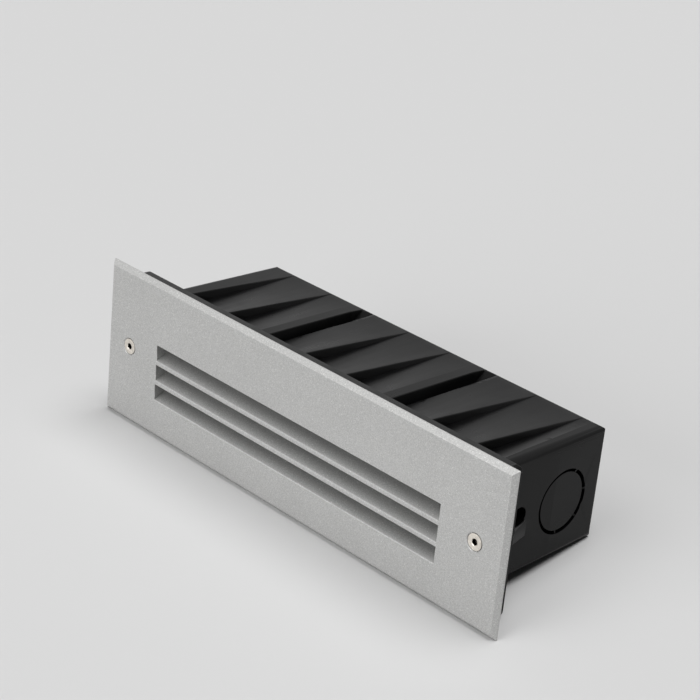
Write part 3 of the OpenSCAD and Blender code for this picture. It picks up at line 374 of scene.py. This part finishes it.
def screw_stainless():
    """Warm stainless steel with turned rings round each fixing screw's axis, painted shade in
    its socket and a painted shadow as a dark line round its head."""
    steel = Finish("screw_stainless", roughness=0.32, metallic=1.0)
    split = steel.tree.nodes.new("ShaderNodeSeparateXYZ")
    steel.tree.links.new(steel.place, split.inputs[0])
    x, y, z = split.outputs
    across = steel.sum("SUBTRACT", steel.sum("ABSOLUTE", x), float(SCREW_X))
    square = steel.sum(
        "ADD", steel.sum("MULTIPLY", across, across), steel.sum("MULTIPLY", z, z),
    )
    radius = steel.sum("SQRT", square)
    rings = steel.sum("SINE", steel.sum("MULTIPLY", radius, 2 * math.pi / RING_PITCH))
    smear = steel.noise(0.9 * MM, detail=3)
    colour = steel.between(smear, (0.70, 0.655, 0.59), (0.86, 0.81, 0.735))
    # Painted shade fills the hex socket. It is weaker in the socket's middle, where a lighter
    # streak is painted.
    middle = steel.ramp(steel.sum("DIVIDE", radius, MM), (0.5, 0.55), (0.8, 1.0))
    socket_shade_mask = steel.sum("MULTIPLY", steel.sum("LESS_THAN", radius, SOCKET_MOUTH), middle)
    depth = steel.sum("SUBTRACT", y, float(SCREW_FRONT))
    deep = steel.sum("DIVIDE", depth, SOCKET_DARKEST)
    # Painted shade: the socket darkens with depth towards a near-black colour.
    painted_socket_shade = steel.ramp(steel.sum("MULTIPLY", socket_shade_mask, deep), (0.1, 0.0), (0.75, 0.97))
    colour = steel.mix(painted_socket_shade, colour, (0.012, 0.010, 0.008))
    # Painted shadow: a dark line round the head's rim, where the gap to the countersink lies.
    rim = steel.ramp(steel.sum("DIVIDE", radius, RIM_SCALE), (0.655, 0.0), (0.69, 0.95))
    colour = steel.mix(rim, colour, (0.020, 0.018, 0.016))
    steel.link(colour, "Base Color")
    steel.link(steel.between(smear, 0.26, 0.42), "Roughness")
    steel.relief(rings, 0.004 * MM, 0.5)
    return steel.material


def cast_housing():
    """Bead-blasted die casting in dark grey coat, with a soft cast skin."""
    cast = Finish("cast_housing", roughness=0.55, metallic=0.5, specular=0.4)
    skin = cast.noise(1.1 * MM, detail=4, rough=0.6)
    cloud = cast.noise(14 * MM)
    colour = cast.between(skin, (0.21, 0.215, 0.22), (0.30, 0.305, 0.31))
    colour = cast.mix(1.0, colour, cast.between(cloud, 0.86, 1.05), kind="MULTIPLY")
    cast.link(colour, "Base Color")
    cast.link(cast.between(skin, 0.62, 0.48), "Roughness")
    cast.relief(skin, 0.05 * MM, 0.6)
    return cast.material


def bright_metal(name, dark, light, grain, roughness):
    """Machined or plated metal: a smeared tone between two colours, with
    smears of grain metres, and a fine scratched roughness."""
    metal = Finish(name, roughness=roughness, metallic=1.0)
    smear = metal.noise(grain, detail=3, rough=0.6)
    metal.link(metal.between(smear, dark, light), "Base Color")
    metal.link(metal.between(smear, roughness - 0.07, roughness + 0.1), "Roughness")
    metal.relief(metal.noise(grain / 3), 0.006 * MM, 0.4)
    return metal.material


def soft_rubber(name, dark, light, roughness):
    """Moulded or cut rubber: dusty mottle and a fine matt skin."""
    rubber = Finish(name, roughness=roughness, specular=0.35)
    dust = rubber.noise(1.6 * MM, detail=4, rough=0.65)
    rubber.link(rubber.between(dust, dark, light), "Base Color")
    rubber.link(rubber.between(dust, roughness + 0.08, roughness - 0.06), "Roughness")
    rubber.relief(rubber.noise(0.25 * MM), 0.015 * MM, 0.5)
    return rubber.material


def moulded_plastic(name, dark, light, roughness):
    """Moulded plastic: faint flow marks and a satin grain."""
    plastic = Finish(name, roughness=roughness, specular=0.45)
    flow = plastic.noise(2.2 * MM, detail=3, rough=0.55)
    plastic.link(plastic.between(flow, dark, light), "Base Color")
    plastic.link(plastic.between(flow, roughness + 0.05, roughness - 0.05), "Roughness")
    plastic.relief(plastic.noise(0.2 * MM), 0.008 * MM, 0.5)
    return plastic.material


def frosted_pane():
    """Etched glass: rough transmission with a cloudy, slightly green body."""
    glass = Finish("frosted_pane", roughness=0.45)
    glass.constant("Transmission Weight", 0.82)
    glass.constant("IOR", 1.5)
    etch = glass.noise(0.35 * MM)
    glass.link(glass.between(etch, (0.80, 0.84, 0.82), (0.90, 0.93, 0.91)), "Base Color")
    glass.link(glass.between(etch, 0.40, 0.58), "Roughness")
    glass.relief(etch, 0.01 * MM, 0.4)
    return glass.material


def diode_yellow():
    """Phosphor gel over the diodes, with a grainy powder in it."""
    gel = Finish("diode_yellow", roughness=0.35)
    powder = gel.noise(0.18 * MM, detail=3)
    gel.link(gel.between(powder, (0.72, 0.50, 0.08), (0.90, 0.68, 0.16)), "Base Color")
    gel.relief(powder, 0.01 * MM, 0.4)
    return gel.material


# The plainer finishes: dark tone, light tone, for a metal its smears' size, and
# roughness
METALS = {
    "insert_brass": ((0.52, 0.37, 0.14), (0.70, 0.53, 0.24), 0.8 * MM, 0.34),
    "terminal_brass": ((0.55, 0.41, 0.17), (0.72, 0.56, 0.27), 0.6 * MM, 0.30),
    "small_screw_steel": ((0.50, 0.50, 0.51), (0.68, 0.68, 0.69), 0.7 * MM, 0.33),
    "gland_nickel": ((0.52, 0.50, 0.46), (0.68, 0.66, 0.61), 1.2 * MM, 0.27),
    "tinned_tag": ((0.55, 0.54, 0.50), (0.72, 0.71, 0.66), 0.9 * MM, 0.38),
    "earth_green": ((0.10, 0.30, 0.10), (0.18, 0.44, 0.16), 0.7 * MM, 0.40),
}
RUBBERS = {
    "seal_rubber": ((0.012, 0.012, 0.012), (0.026, 0.026, 0.027), 0.72),
    "pane_silicone": ((0.60, 0.60, 0.58), (0.74, 0.74, 0.72), 0.50),
    "pad_blue": ((0.20, 0.36, 0.44), (0.28, 0.47, 0.55), 0.66),
}
PLASTICS = {
    "washer_nylon": ((0.70, 0.70, 0.66), (0.84, 0.84, 0.80), 0.42),
    "reflector_white": ((0.78, 0.78, 0.78), (0.88, 0.88, 0.88), 0.30),
    "board_white": ((0.74, 0.74, 0.71), (0.86, 0.86, 0.83), 0.40),
    "driver_plastic": ((0.68, 0.68, 0.65), (0.79, 0.79, 0.76), 0.48),
    "lead_red": ((0.42, 0.025, 0.02), (0.58, 0.05, 0.04), 0.40),
    "terminal_plastic": ((0.66, 0.66, 0.60), (0.78, 0.78, 0.72), 0.44),
}


def finishes():
    """The material of each slot in the record."""
    own = (plate_coat, box_plastic, screw_stainless, cast_housing, frosted_pane, diode_yellow)
    made = {make.__name__: make() for make in own}
    families = (bright_metal, METALS), (soft_rubber, RUBBERS), (moulded_plastic, PLASTICS)
    for make, family in families:
        made.update({name: make(name, *values) for name, values in family.items()})
    return made


# Meshes


def mesh_piece(name, points, faces):
    """A mesh object at the origin from points (n, 3) and quads (m, 4)."""
    mesh = bpy.data.meshes.new(name)
    mesh.from_pydata(points.reshape(-1, 3).tolist(), [], faces.tolist())
    mesh.update()
    piece = bpy.data.objects.new(name, mesh)
    bpy.context.scene.collection.objects.link(piece)
    return piece


def grid_faces(rows, columns):
    """Quads between neighbouring rows and columns of a grid of points."""
    index = np.arange(rows * columns).reshape(rows, columns)
    corners = [index[:-1, :-1], index[1:, :-1], index[1:, 1:], index[:-1, 1:]]
    return np.stack(corners, -1).reshape(-1, 4)


def grid_piece(name, points):
    """A piece from one grid of points (rows, columns, 3)."""
    return mesh_piece(name, points, grid_faces(*points.shape[:2]))


def closed_turning(name, points):
    """A piece from a grid whose last column meets its first and whose first
    and last rows are single points: doubles merge, and faces turn outwards."""
    piece = grid_piece(name, points)
    work = bmesh.new()
    work.from_mesh(piece.data)
    bmesh.ops.remove_doubles(work, verts=work.verts, dist=MM / 1000)
    bmesh.ops.recalc_face_normals(work, faces=work.faces)
    for face in work.faces:
        face.smooth = True
    work.to_mesh(piece.data)
    work.free()
    piece.data.set_sharp_from_angle(angle=TURNING_SHARP)
    return piece


def mesh_points(mesh):
    """The corners of a mesh as an array (n, 3)."""
    points = np.empty(3 * len(mesh.vertices))
    mesh.vertices.foreach_get("co", points)
    return points.reshape(-1, 3)


def move_points(mesh, points):
    """Puts the corners of a mesh at new places."""
    mesh.vertices.foreach_set("co", points.reshape(-1))
    mesh.update()


# How near two corners merge, how flat a joint between faces vanishes, and the
# turns from which an edge is a sharp line
MERGE = 0.03 * MM
FLAT = math.radians(0.6)
SHARP = math.radians(32)
BOX_SHARP = math.radians(48)
TURNING_SHARP = math.radians(40)
# Between two faces wider than a facet of a round edge, a slight turn is a line too
SLIGHT = math.radians(1.5)
FACET = 1.3 * MM


def face_width(face):
    """The area of a face over its longest side."""
    return face.calc_area() / max(line.calc_length() for line in face.edges)


def is_line(edge, sharp):
    """True where a surface turns sharply, or slightly between wide faces."""
    if not edge.is_manifold:
        return True
    turn = edge.calc_face_angle()
    return turn > sharp or (turn > SLIGHT and min(map(face_width, edge.link_faces)) > FACET)


# The mounting box's ribbed walls, with the sizes of the CAD part

# Its body: where it leaves the flange, its half height and half width there,
# how much less these are at its back, and the round edge of its back
BODY_FRONT = 11.2 * MM
BODY_HALF_HEIGHT, HEIGHT_LOSS = 24 * MM, 0.5 * MM
BODY_HALF_WIDTH, WIDTH_LOSS = 97.5 * MM, 2.5 * MM
REAR_ROUND = 3 * MM
# Its ribs: how far apart their crests are and how far all are shifted to the
# left, how far a leaning and a straight crest lean, the foot past each crest,
# and the land before a leaning crest, a straight crest and the right end
RIB_COUNT = 8
RIB_FRONT = 14.2 * MM
RIB_BACK = BOX_BACK - 2 * MM
RIB_DEPTH = 4.4 * MM
RIB_PITCH, RIB_SHIFT = 23.6 * MM, 2 * MM
CREST_LEAN, STRAIGHT_LEAN = 6.4 * MM, -1 * MM
CREST_FOOT = 0.6 * MM
LAND, STRAIGHT_LAND, END_LAND = 1 * MM, 5 * MM, 6 * MM
# Where a face counts as a rib's floor: how near it in height and across, and
# how level before and after the cuts, which have these steps across and along
FLOOR_GAP = 1.0 * MM
FLOOR_EDGE = 0.02 * MM
FLOOR_LEVEL, CUT_LEVEL = 0.95, 0.9
FLOOR_STEPS = (2.4 * MM, 3.0 * MM)
LAST_STEP = 0.2


def body_share(y):
    """0 where the box's body leaves the flange, 1 at its back."""
    return (y - BODY_FRONT) / (BOX_BACK - BODY_FRONT)


def rib_share(y):
    """0 at the front of the ribs, 1 at their back."""
    return (y - RIB_FRONT) / (RIB_BACK - RIB_FRONT)


def half_height(y):
    """Half the height of the box's body at depth y."""
    return BODY_HALF_HEIGHT - HEIGHT_LOSS * body_share(y)


def is_straight(k):
    """True for every third step."""
    return k % 3 == 2


def crest(k, y):
    """The x of the crest of step k at depth y. Every third step is straight;
    the others lean sideways on their way back."""
    lean = STRAIGHT_LEAN if is_straight(k) else CREST_LEAN * (rib_share(y) - 0.5)
    return (k - (RIB_COUNT - 1) / 2) * RIB_PITCH - RIB_SHIFT + lean


def floor_span(k, y):
    """The x of the foot of step k, and of the land before the next one."""
    if k + 1 < RIB_COUNT:
        end = crest(k + 1, y) - (STRAIGHT_LAND if is_straight(k + 1) else LAND)
    else:
        end = BODY_HALF_WIDTH - WIDTH_LOSS * body_share(y) - END_LAND
    return crest(k, y) + CREST_FOOT, end


def floor_height(k, x, y):
    """Height of the floor of rib k over the box's middle: the body's half
    height less a depth that falls evenly across from the step's foot to the
    next land, and backwards from its front to its end. It never stands over
    the body's round rear edge."""
    foot, end = floor_span(k, y)
    depth = RIB_DEPTH * (1 - rib_share(y)) * (end - x) / (end - foot)
    past = np.clip(y - (BOX_BACK - REAR_ROUND), 0, REAR_ROUND)
    rounded_off = REAR_ROUND - np.sqrt(REAR_ROUND ** 2 - past ** 2)
    return half_height(y) - np.maximum(depth, rounded_off)


def on_floor(k, x, y, z):
    """Where a point, or each of an array of points, lies on the floor of
    rib k, on the upper or the lower side."""
    foot, end = floor_span(k, y)
    beside = (x > foot - FLOOR_EDGE) & (x < end + FLOOR_EDGE)
    beside &= (y > RIB_FRONT - FLOOR_EDGE) & (y < BOX_BACK - MM)
    return beside & (np.abs(np.abs(z) - floor_height(k, x, y)) < FLOOR_GAP)


def cut_across(work, faces, axis, step):
    """Cuts faces at even steps along an axis. Returns the narrow ones."""
    marks = [corner.co[axis] for face in faces for corner in face.verts]
    place, end = min(marks) + step, max(marks) - LAST_STEP * step
    while place < end:
        lines = dict.fromkeys(line for face in faces for line in face.edges)
        corners = dict.fromkeys(corner for face in faces for corner in face.verts)
        at, along = Vector(), Vector()
        at[axis], along[axis] = place, 1
        parts = bmesh.ops.bisect_plane(
            work, geom=[*faces, *lines, *corners], dist=FLOOR_EDGE, plane_co=at, plane_no=along,
        )
        faces = [part for part in parts["geom"] if isinstance(part, bmesh.types.BMFace)]
        place += step
    return faces


def cut_floors(work):
    """Joins the triangles of each rib's floor into one face, then cuts it
    across and along into narrow ones. Returns the new faces."""
    for k in range(RIB_COUNT):
        for side in (-1, 1):
            floor = [
                face for face in work.faces
                if face.normal.z * side > FLOOR_LEVEL
                and face.calc_center_median().z * side > 0
                and on_floor(k, *face.calc_center_median())
            ]
            if floor:
                joined = bmesh.ops.dissolve_faces(work, faces=floor)["region"]
                for axis, step in enumerate(FLOOR_STEPS):
                    joined = cut_across(work, joined, axis, step)
    return [
        face for face in work.faces
        if abs(face.normal.z) > CUT_LEVEL
        and any(on_floor(k, *face.calc_center_median()) for k in range(RIB_COUNT))
    ]


def smooth_floors(mesh, corners):
    """Moves the corners of the ribs' floors onto the ruled surface itself."""
    points = mesh_points(mesh)
    x, y, z = points.T
    of_floor = np.isin(np.arange(len(points)), corners)
    for k in range(RIB_COUNT):
        there = of_floor & on_floor(k, x, y, z)
        points[there, 2] = np.sign(z[there]) * floor_height(k, x[there], y[there])
    move_points(mesh, points)


# The mounting box's end walls

# How far a corner may be from where it is looked for: the usual slack, twice
# that, and the closer ones for rims, for the notch and for the rear tabs
SLACK, WIDE_SLACK = 0.1 * MM, 0.2 * MM
RIM_SLACK, NOTCH_SLACK, TAB_SLACK = 0.05 * MM, 0.06 * MM, 0.01 * MM
# The plane that the end walls start from, and the knockout: its middle, the
# inner and outer radius of its groove, its face, the share of that outside
# which an edge is on the end wall, and how far the face is sunk
END_PLANE = 96.12 * MM
KNOCKOUT_Y, KNOCKOUT_Z = 51 * MM, -1.5 * MM
KNOCKOUT_INSIDE, KNOCKOUT_OUTSIDE = 12.1 * MM, 13.5 * MM
KNOCKOUT_FACE = 94.6 * MM
FACE_SHARE = 0.9
KNOCKOUT_SINK = 0.4 * MM
# The tabs that hold the knockout: the top of the rear one, how far it is
# lowered, and which share of the inner radius it lies behind
TAB_TOP = 95.411 * MM
TAB_DROP = 0.3 * MM
TAB_PLACE = 0.95
SIDE_HOLE_Y = 26.2 * MM
SIDE_HOLE_RADIUS = 3.6 * MM
# The wedge under the side hole: the hole's notch in it, its ends, and by which
# shares of its reach it is drawn forwards and falls
NOTCH_RADIUS = 3.9 * MM
WEDGE_FRONT, WEDGE_TIP = 11.2 * MM, 32.49 * MM
WEDGE_TOP, WEDGE_FOOT = -2.1 * MM, -9.3 * MM
WEDGE_ROOT = 4 * MM
WEDGE_DRAW, WEDGE_FALL = 0.07, 0.028
# Where the round edges of the box's back meet: outside and behind these
CORNER_X, CORNER_Y, CORNER_Z = 93 * MM, 72.4 * MM, 21 * MM


def shape_ends(mesh):
    """Sinks each knockout a little below its end wall, and shapes the wedge
    under each side hole: the hole's notch in it is filled up, and the wedge is
    drawn forwards and falls a little towards its tip."""
    points = mesh_points(mesh)
    x, y, z = np.abs(points[:, 0]), points[:, 1], points[:, 2]
    from_knockout = np.hypot(y - KNOCKOUT_Y, z - KNOCKOUT_Z)
    disc = (from_knockout < KNOCKOUT_INSIDE + SLACK) & (x > KNOCKOUT_FACE)
    points[disc, 0] -= np.sign(points[disc, 0]) * KNOCKOUT_SINK
    wedge = (y > WEDGE_FRONT + WEDGE_ROOT) & (y < WEDGE_TIP + SLACK)
    wedge &= (z > WEDGE_FOOT - SLACK) & (z < WEDGE_TOP + SLACK) & (x > END_PLANE - SLACK)
    wedge &= (x > END_PLANE + WIDE_SLACK) | (y > WEDGE_TIP - WIDE_SLACK)
    from_hole = np.hypot(y - SIDE_HOLE_Y, z)
    notch = wedge & (np.abs(from_hole - NOTCH_RADIUS) < NOTCH_SLACK)
    points[notch, 2] = WEDGE_TOP
    reach = y - WEDGE_FRONT
    points[wedge, 1] -= WEDGE_DRAW * reach[wedge]
    points[wedge, 2] -= WEDGE_FALL * reach[wedge]
    move_points(mesh, points)


def lower_rear_tabs(work):
    """Lowers the top of each knockout's rear tab, which is nearly level with
    the end wall there, so that no sliver is left between the two."""
    behind = KNOCKOUT_Y + TAB_PLACE * KNOCKOUT_INSIDE
    for corner in work.verts:
        if abs(abs(corner.co.x) - TAB_TOP) < TAB_SLACK and corner.co.y > behind:
            corner.co.x -= math.copysign(TAB_DROP, corner.co.x)


def is_opening(edge):
    """True for the rims of the knockouts' grooves and of the side holes."""
    for corner in edge.verts:
        x, y, z = corner.co
        from_knockout = math.hypot(y - KNOCKOUT_Y, z - KNOCKOUT_Z)
        from_hole = math.hypot(y - SIDE_HOLE_Y, z)
        rim = from_knockout < KNOCKOUT_OUTSIDE + RIM_SLACK
        rim = rim or abs(from_hole - SIDE_HOLE_RADIUS) < RIM_SLACK
        if not rim or abs(x) < FACE_SHARE * KNOCKOUT_FACE:
            return False
    return True


def is_rear_corner(edge):
    """True for the short creases where two rounds of the box's back meet."""
    return all(
        abs(corner.co.x) > CORNER_X and corner.co.y > CORNER_Y and abs(corner.co.z) > CORNER_Z
        for corner in edge.verts
    )


# The box reaches further down in the photograph than the solids do: the share
# by which its lower walls are stretched at its front, how much less at its
# back, and the heights below the middle between which this sets in
LOWER_STRETCH = 0.10
REAR_STRETCH_LOSS = 0.062
STRETCH_START, STRETCH_FULL = 15.5 * MM, 20 * MM


def lower_stretch(y):
    """By what share of their height the box's lower walls are stretched at
    depth y."""
    return LOWER_STRETCH - REAR_STRETCH_LOSS * np.clip(body_share(y), 0, 1)


def stretch_downwards(mesh):
    """Stretches the box's lower walls downwards: a height below the middle
    grows by the stretch at its depth, times a smooth step that sets in below
    the knockouts."""
    points = mesh_points(mesh)
    y, z = points[:, 1], points[:, 2]
    growth = lower_stretch(y) * smooth_step(-z, STRETCH_START, STRETCH_FULL)
    points[:, 2] = z * (1 + growth)
    move_points(mesh, points)


# The screws' heads, as they measure in the photograph, and the countersinks
SHANK_RADIUS = 2.0 * MM
HEAD_RADIUS = 3.5 * MM
COUNTERSINK_FOOT = 2.6 * MM
COUNTERSINK_EDGE = 4.35 * MM
COUNTERSINK_DRAW = 0.58 * MM


def draw_in_countersinks(mesh):
    """Draws the plate's countersinks in to the screws' heads: a corner at a
    radius from the screw's axis moves inwards by the draw times a smooth step
    that is 0 at the shank's hole and 1 at the countersink's edge."""
    points = mesh_points(mesh)
    across, z = np.abs(points[:, 0]) - SCREW_X, points[:, 2]
    radius = np.maximum(np.hypot(across, z), MM)
    share = smooth_step(radius, COUNTERSINK_FOOT, COUNTERSINK_EDGE - RIM_SLACK)
    shrunk = 1 - COUNTERSINK_DRAW * share / radius
    nearer = np.where(radius < COUNTERSINK_EDGE + SLACK, shrunk, 1)
    points[:, 0] = np.sign(points[:, 0]) * (SCREW_X + across * nearer)
    points[:, 2] = z * nearer
    move_points(mesh, points)


# Pieces that follow the CAD nodes, with round edges


def dressed(piece, node, finish):
    """Gives a piece its finish, and lets it stand for its CAD node."""
    piece.data.materials.clear()
    piece.data.materials.append(finish[SLOT_OF[node]])
    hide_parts(node)
    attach(piece, BODY_OF[node])


def flat_faced(node):
    """A copy of a CAD node's mesh with its loose triangles merged into flat
    faces, and with the forms of the box and the plate as they were measured."""
    mesh = NODES[node].data.copy()
    is_box = node == "mounting_box"
    work = bmesh.new()
    work.from_mesh(mesh)
    if is_box:
        lower_rear_tabs(work)
    bmesh.ops.remove_doubles(work, verts=work.verts, dist=MERGE)
    kept = set(cut_floors(work)) if is_box else set()
    bmesh.ops.dissolve_limit(
        work, angle_limit=FLAT,
        verts=[corner for corner in work.verts if not kept.intersection(corner.link_faces)],
        edges=[line for line in work.edges if not kept.intersection(line.link_faces)],
    )
    work.verts.index_update()
    corners = sorted({corner.index for face in kept for corner in face.verts})
    work.to_mesh(mesh)
    work.free()
    if is_box:
        smooth_floors(mesh, corners)
        shape_ends(mesh)
        stretch_downwards(mesh)
    if node == "faceplate":
        draw_in_countersinks(mesh)
    return mesh


def mark_edges(mesh, is_box):
    """Marks the lines of a mesh as sharp, and the outward ones to be rounded."""
    work = bmesh.new()
    work.from_mesh(mesh)
    weight = work.edges.layers.float.new("bevel_weight_edge")
    sharp = BOX_SHARP if is_box else SHARP
    for line in work.edges:
        line.smooth = not is_line(line, sharp)
        turned = line.is_manifold and line.is_convex and line.calc_face_angle() > sharp
        crisp = is_box and (is_opening(line) or is_rear_corner(line))
        line[weight] = 1.0 if turned and not crisp else 0.0
    for face in work.faces:
        face.smooth = True
    work.to_mesh(mesh)
    work.free()


def rounded(node, finish, radius):
    """A copy of a CAD node in flat faces, and live round outward edges with
    a radius in metres."""
    mesh = flat_faced(node)
    mark_edges(mesh, node == "mounting_box")
    piece = bpy.data.objects.new(node + "_dressed", mesh)
    bpy.context.scene.collection.objects.link(piece)
    if radius:
        bevel = piece.modifiers.new("round_edges", "BEVEL")
        bevel.width = radius
        bevel.segments = 3
        bevel.limit_method = "WEIGHT"
        bevel.use_clamp_overlap = False
    level = piece.modifiers.new("level_faces", "WEIGHTED_NORMAL")
    level.mode = "FACE_AREA"
    level.keep_sharp = True
    dressed(piece, node, finish)


# The radius of each node's round edges, in millimetres
EDGES = {
    "faceplate": 0.18, "mounting_box": 0.3, "lamp_housing": 0.25, "rear_cover": 0.3,
    "driver": 0.3, "terminal_block": 0.2, "gland_nut": 0.25, "gland_body": 0.15,
    "gland_locknut": 0.15, "housing_screws": 0.12, "cover_screws": 0.12, "earth_screw": 0.12,
    "board_screws": 0.1, "driver_screws": 0.1, "lamp_board": 0.1, "lamp_pane": 0.25,
    "earth_tag": 0.08, "terminal_screws": 0.1, "face_gasket": 0.15, "rim_gasket": 0.12,
    "cover_gasket": 0.1, "threaded_inserts": 0.12, "lead_grommet": 0.12, "gland_washer": 0.12,
    "gland_seal": 0.15, "retaining_washers": 0.1, "heat_pad": 0.06, "pane_seal": 0.08,
    "reflector": 0.08, "lamp_leads": 0, "diodes": 0.06,
}


# Fixing screws

HEAD_HEIGHT = HEAD_RADIUS - SHANK_RADIUS
HEAD_RIM = 0.22 * MM
# The hexagon socket: from its middle to a flat, its depth, the drill's point
# below it, and its mouth's width and depth and the edge of that
HEX_HALF = 1.25 * MM
HEX_DEPTH = 1.8 * MM
HEX_POINT = 0.55 * MM
MOUTH_RADIUS = HEX_HALF + 0.14 * MM
MOUTH_DEPTH = 0.17 * MM
MOUTH_EDGE, MOUTH_ROUND = 0.03 * MM, 0.05 * MM
THREAD_PITCH = 0.7 * MM
THREAD_DEPTH = 0.35 * MM
# Where the thread sets in below the head, and runs out before the end
THREAD_START, THREAD_FULL = 0.9 * MM, 1.6 * MM
THREAD_FADE, THREAD_END = 0.9 * MM, 0.78 * MM
TURN_COLUMNS, RIM_ROWS, SHANK_ROWS = 72, 6, 140


def hexagon(turn):
    """The radius of a hexagon whose flats are at a radius of 1, at an angle:
    1 over the cosine of the angle from the nearest flat's middle."""
    nearest = (turn + math.pi / 6) % (math.pi / 3) - math.pi / 6
    return 1 / np.cos(nearest)


def screw_profile():
    """The fixing screw's (radius, depth) rows, from the socket's deepest point
    over the head and down the shank to the tip, and how many are the socket's."""
    socket = [
        (0, HEX_DEPTH + HEX_POINT), (0.5 * HEX_HALF, HEX_DEPTH + 0.5 * HEX_POINT),
        (HEX_HALF, HEX_DEPTH), (HEX_HALF, HEX_DEPTH - MOUTH_EDGE),
        (HEX_HALF, MOUTH_DEPTH + 0.08 * MM), (HEX_HALF, MOUTH_DEPTH),
    ]
    face = [
        (MOUTH_RADIUS, MOUTH_EDGE), (MOUTH_RADIUS + MOUTH_ROUND, 0),
        (0.6 * HEAD_RADIUS, 0), (HEAD_RADIUS - 1.2 * HEAD_RIM, 0),
    ]
    corner = np.linspace(0, math.pi / 2, RIM_ROWS)
    rim_radius = HEAD_RADIUS - HEAD_RIM + HEAD_RIM * np.sin(corner)
    rim = np.stack([rim_radius, HEAD_RIM - HEAD_RIM * np.cos(corner)], 1)
    cone = [
        (HEAD_RADIUS, 1.3 * HEAD_RIM), (HEAD_RADIUS - 0.1 * MM, 1.8 * HEAD_RIM),
        (SHANK_RADIUS, HEAD_HEIGHT),
    ]
    depths = np.linspace(HEAD_HEIGHT + 0.2 * MM, SCREW_LENGTH - 0.8 * MM, SHANK_ROWS)
    shank = np.stack([np.full_like(depths, SHANK_RADIUS), depths], 1)
    tip = [
        (SHANK_RADIUS, SCREW_LENGTH - 0.75 * MM),
        (0.55 * SHANK_RADIUS, SCREW_LENGTH - 0.02 * MM),
        (0.5 * SHANK_RADIUS, SCREW_LENGTH), (0, SCREW_LENGTH),
    ]
    return np.concatenate([socket, face, rim, cone, shank, tip]), len(socket)


def fixing_screw(name, side):
    """A countersunk socket screw: a profile of (radius, depth) turned round
    the screw's axis. The rows of the socket follow a hexagon in place of the
    circle, and the shank's radius falls by the thread's depth times a
    triangle wave of (depth over pitch, less the turn), which is a helix."""
    profile, socket_rows = screw_profile()
    radius, depth = profile[:, :1], profile[:, 1:]
    turn = np.linspace(0, 2 * math.pi, TURN_COLUMNS + 1)
    in_socket = (np.arange(len(profile)) < socket_rows)[:, None]
    round_or_hex = np.where(in_socket, hexagon(turn)[None], 1.0)
    wave = (depth / THREAD_PITCH - turn[None] / (2 * math.pi)) % 1
    groove = THREAD_DEPTH * np.abs(2 * wave - 1)
    threaded = smooth_step(depth, HEAD_HEIGHT + THREAD_START, HEAD_HEIGHT + THREAD_FULL)
    run_out = smooth_step(depth, SCREW_LENGTH - THREAD_FADE, SCREW_LENGTH - THREAD_END)
    reach = radius * round_or_hex - groove * (threaded * (1 - run_out))
    x = side * SCREW_X + reach * np.cos(turn)
    y = SCREW_FRONT + depth + 0 * reach
    return closed_turning(name, np.stack([x, y, reach * np.sin(turn)], -1))


camera()
studio()
FINISH = finishes()
for name, radius in EDGES.items():
    rounded(name, FINISH, radius * MM)
for side, node in ((-1, "fixing_screw_left"), (1, "fixing_screw_right")):
    dressed(fixing_screw(node + "_dressed", side), node, FINISH)
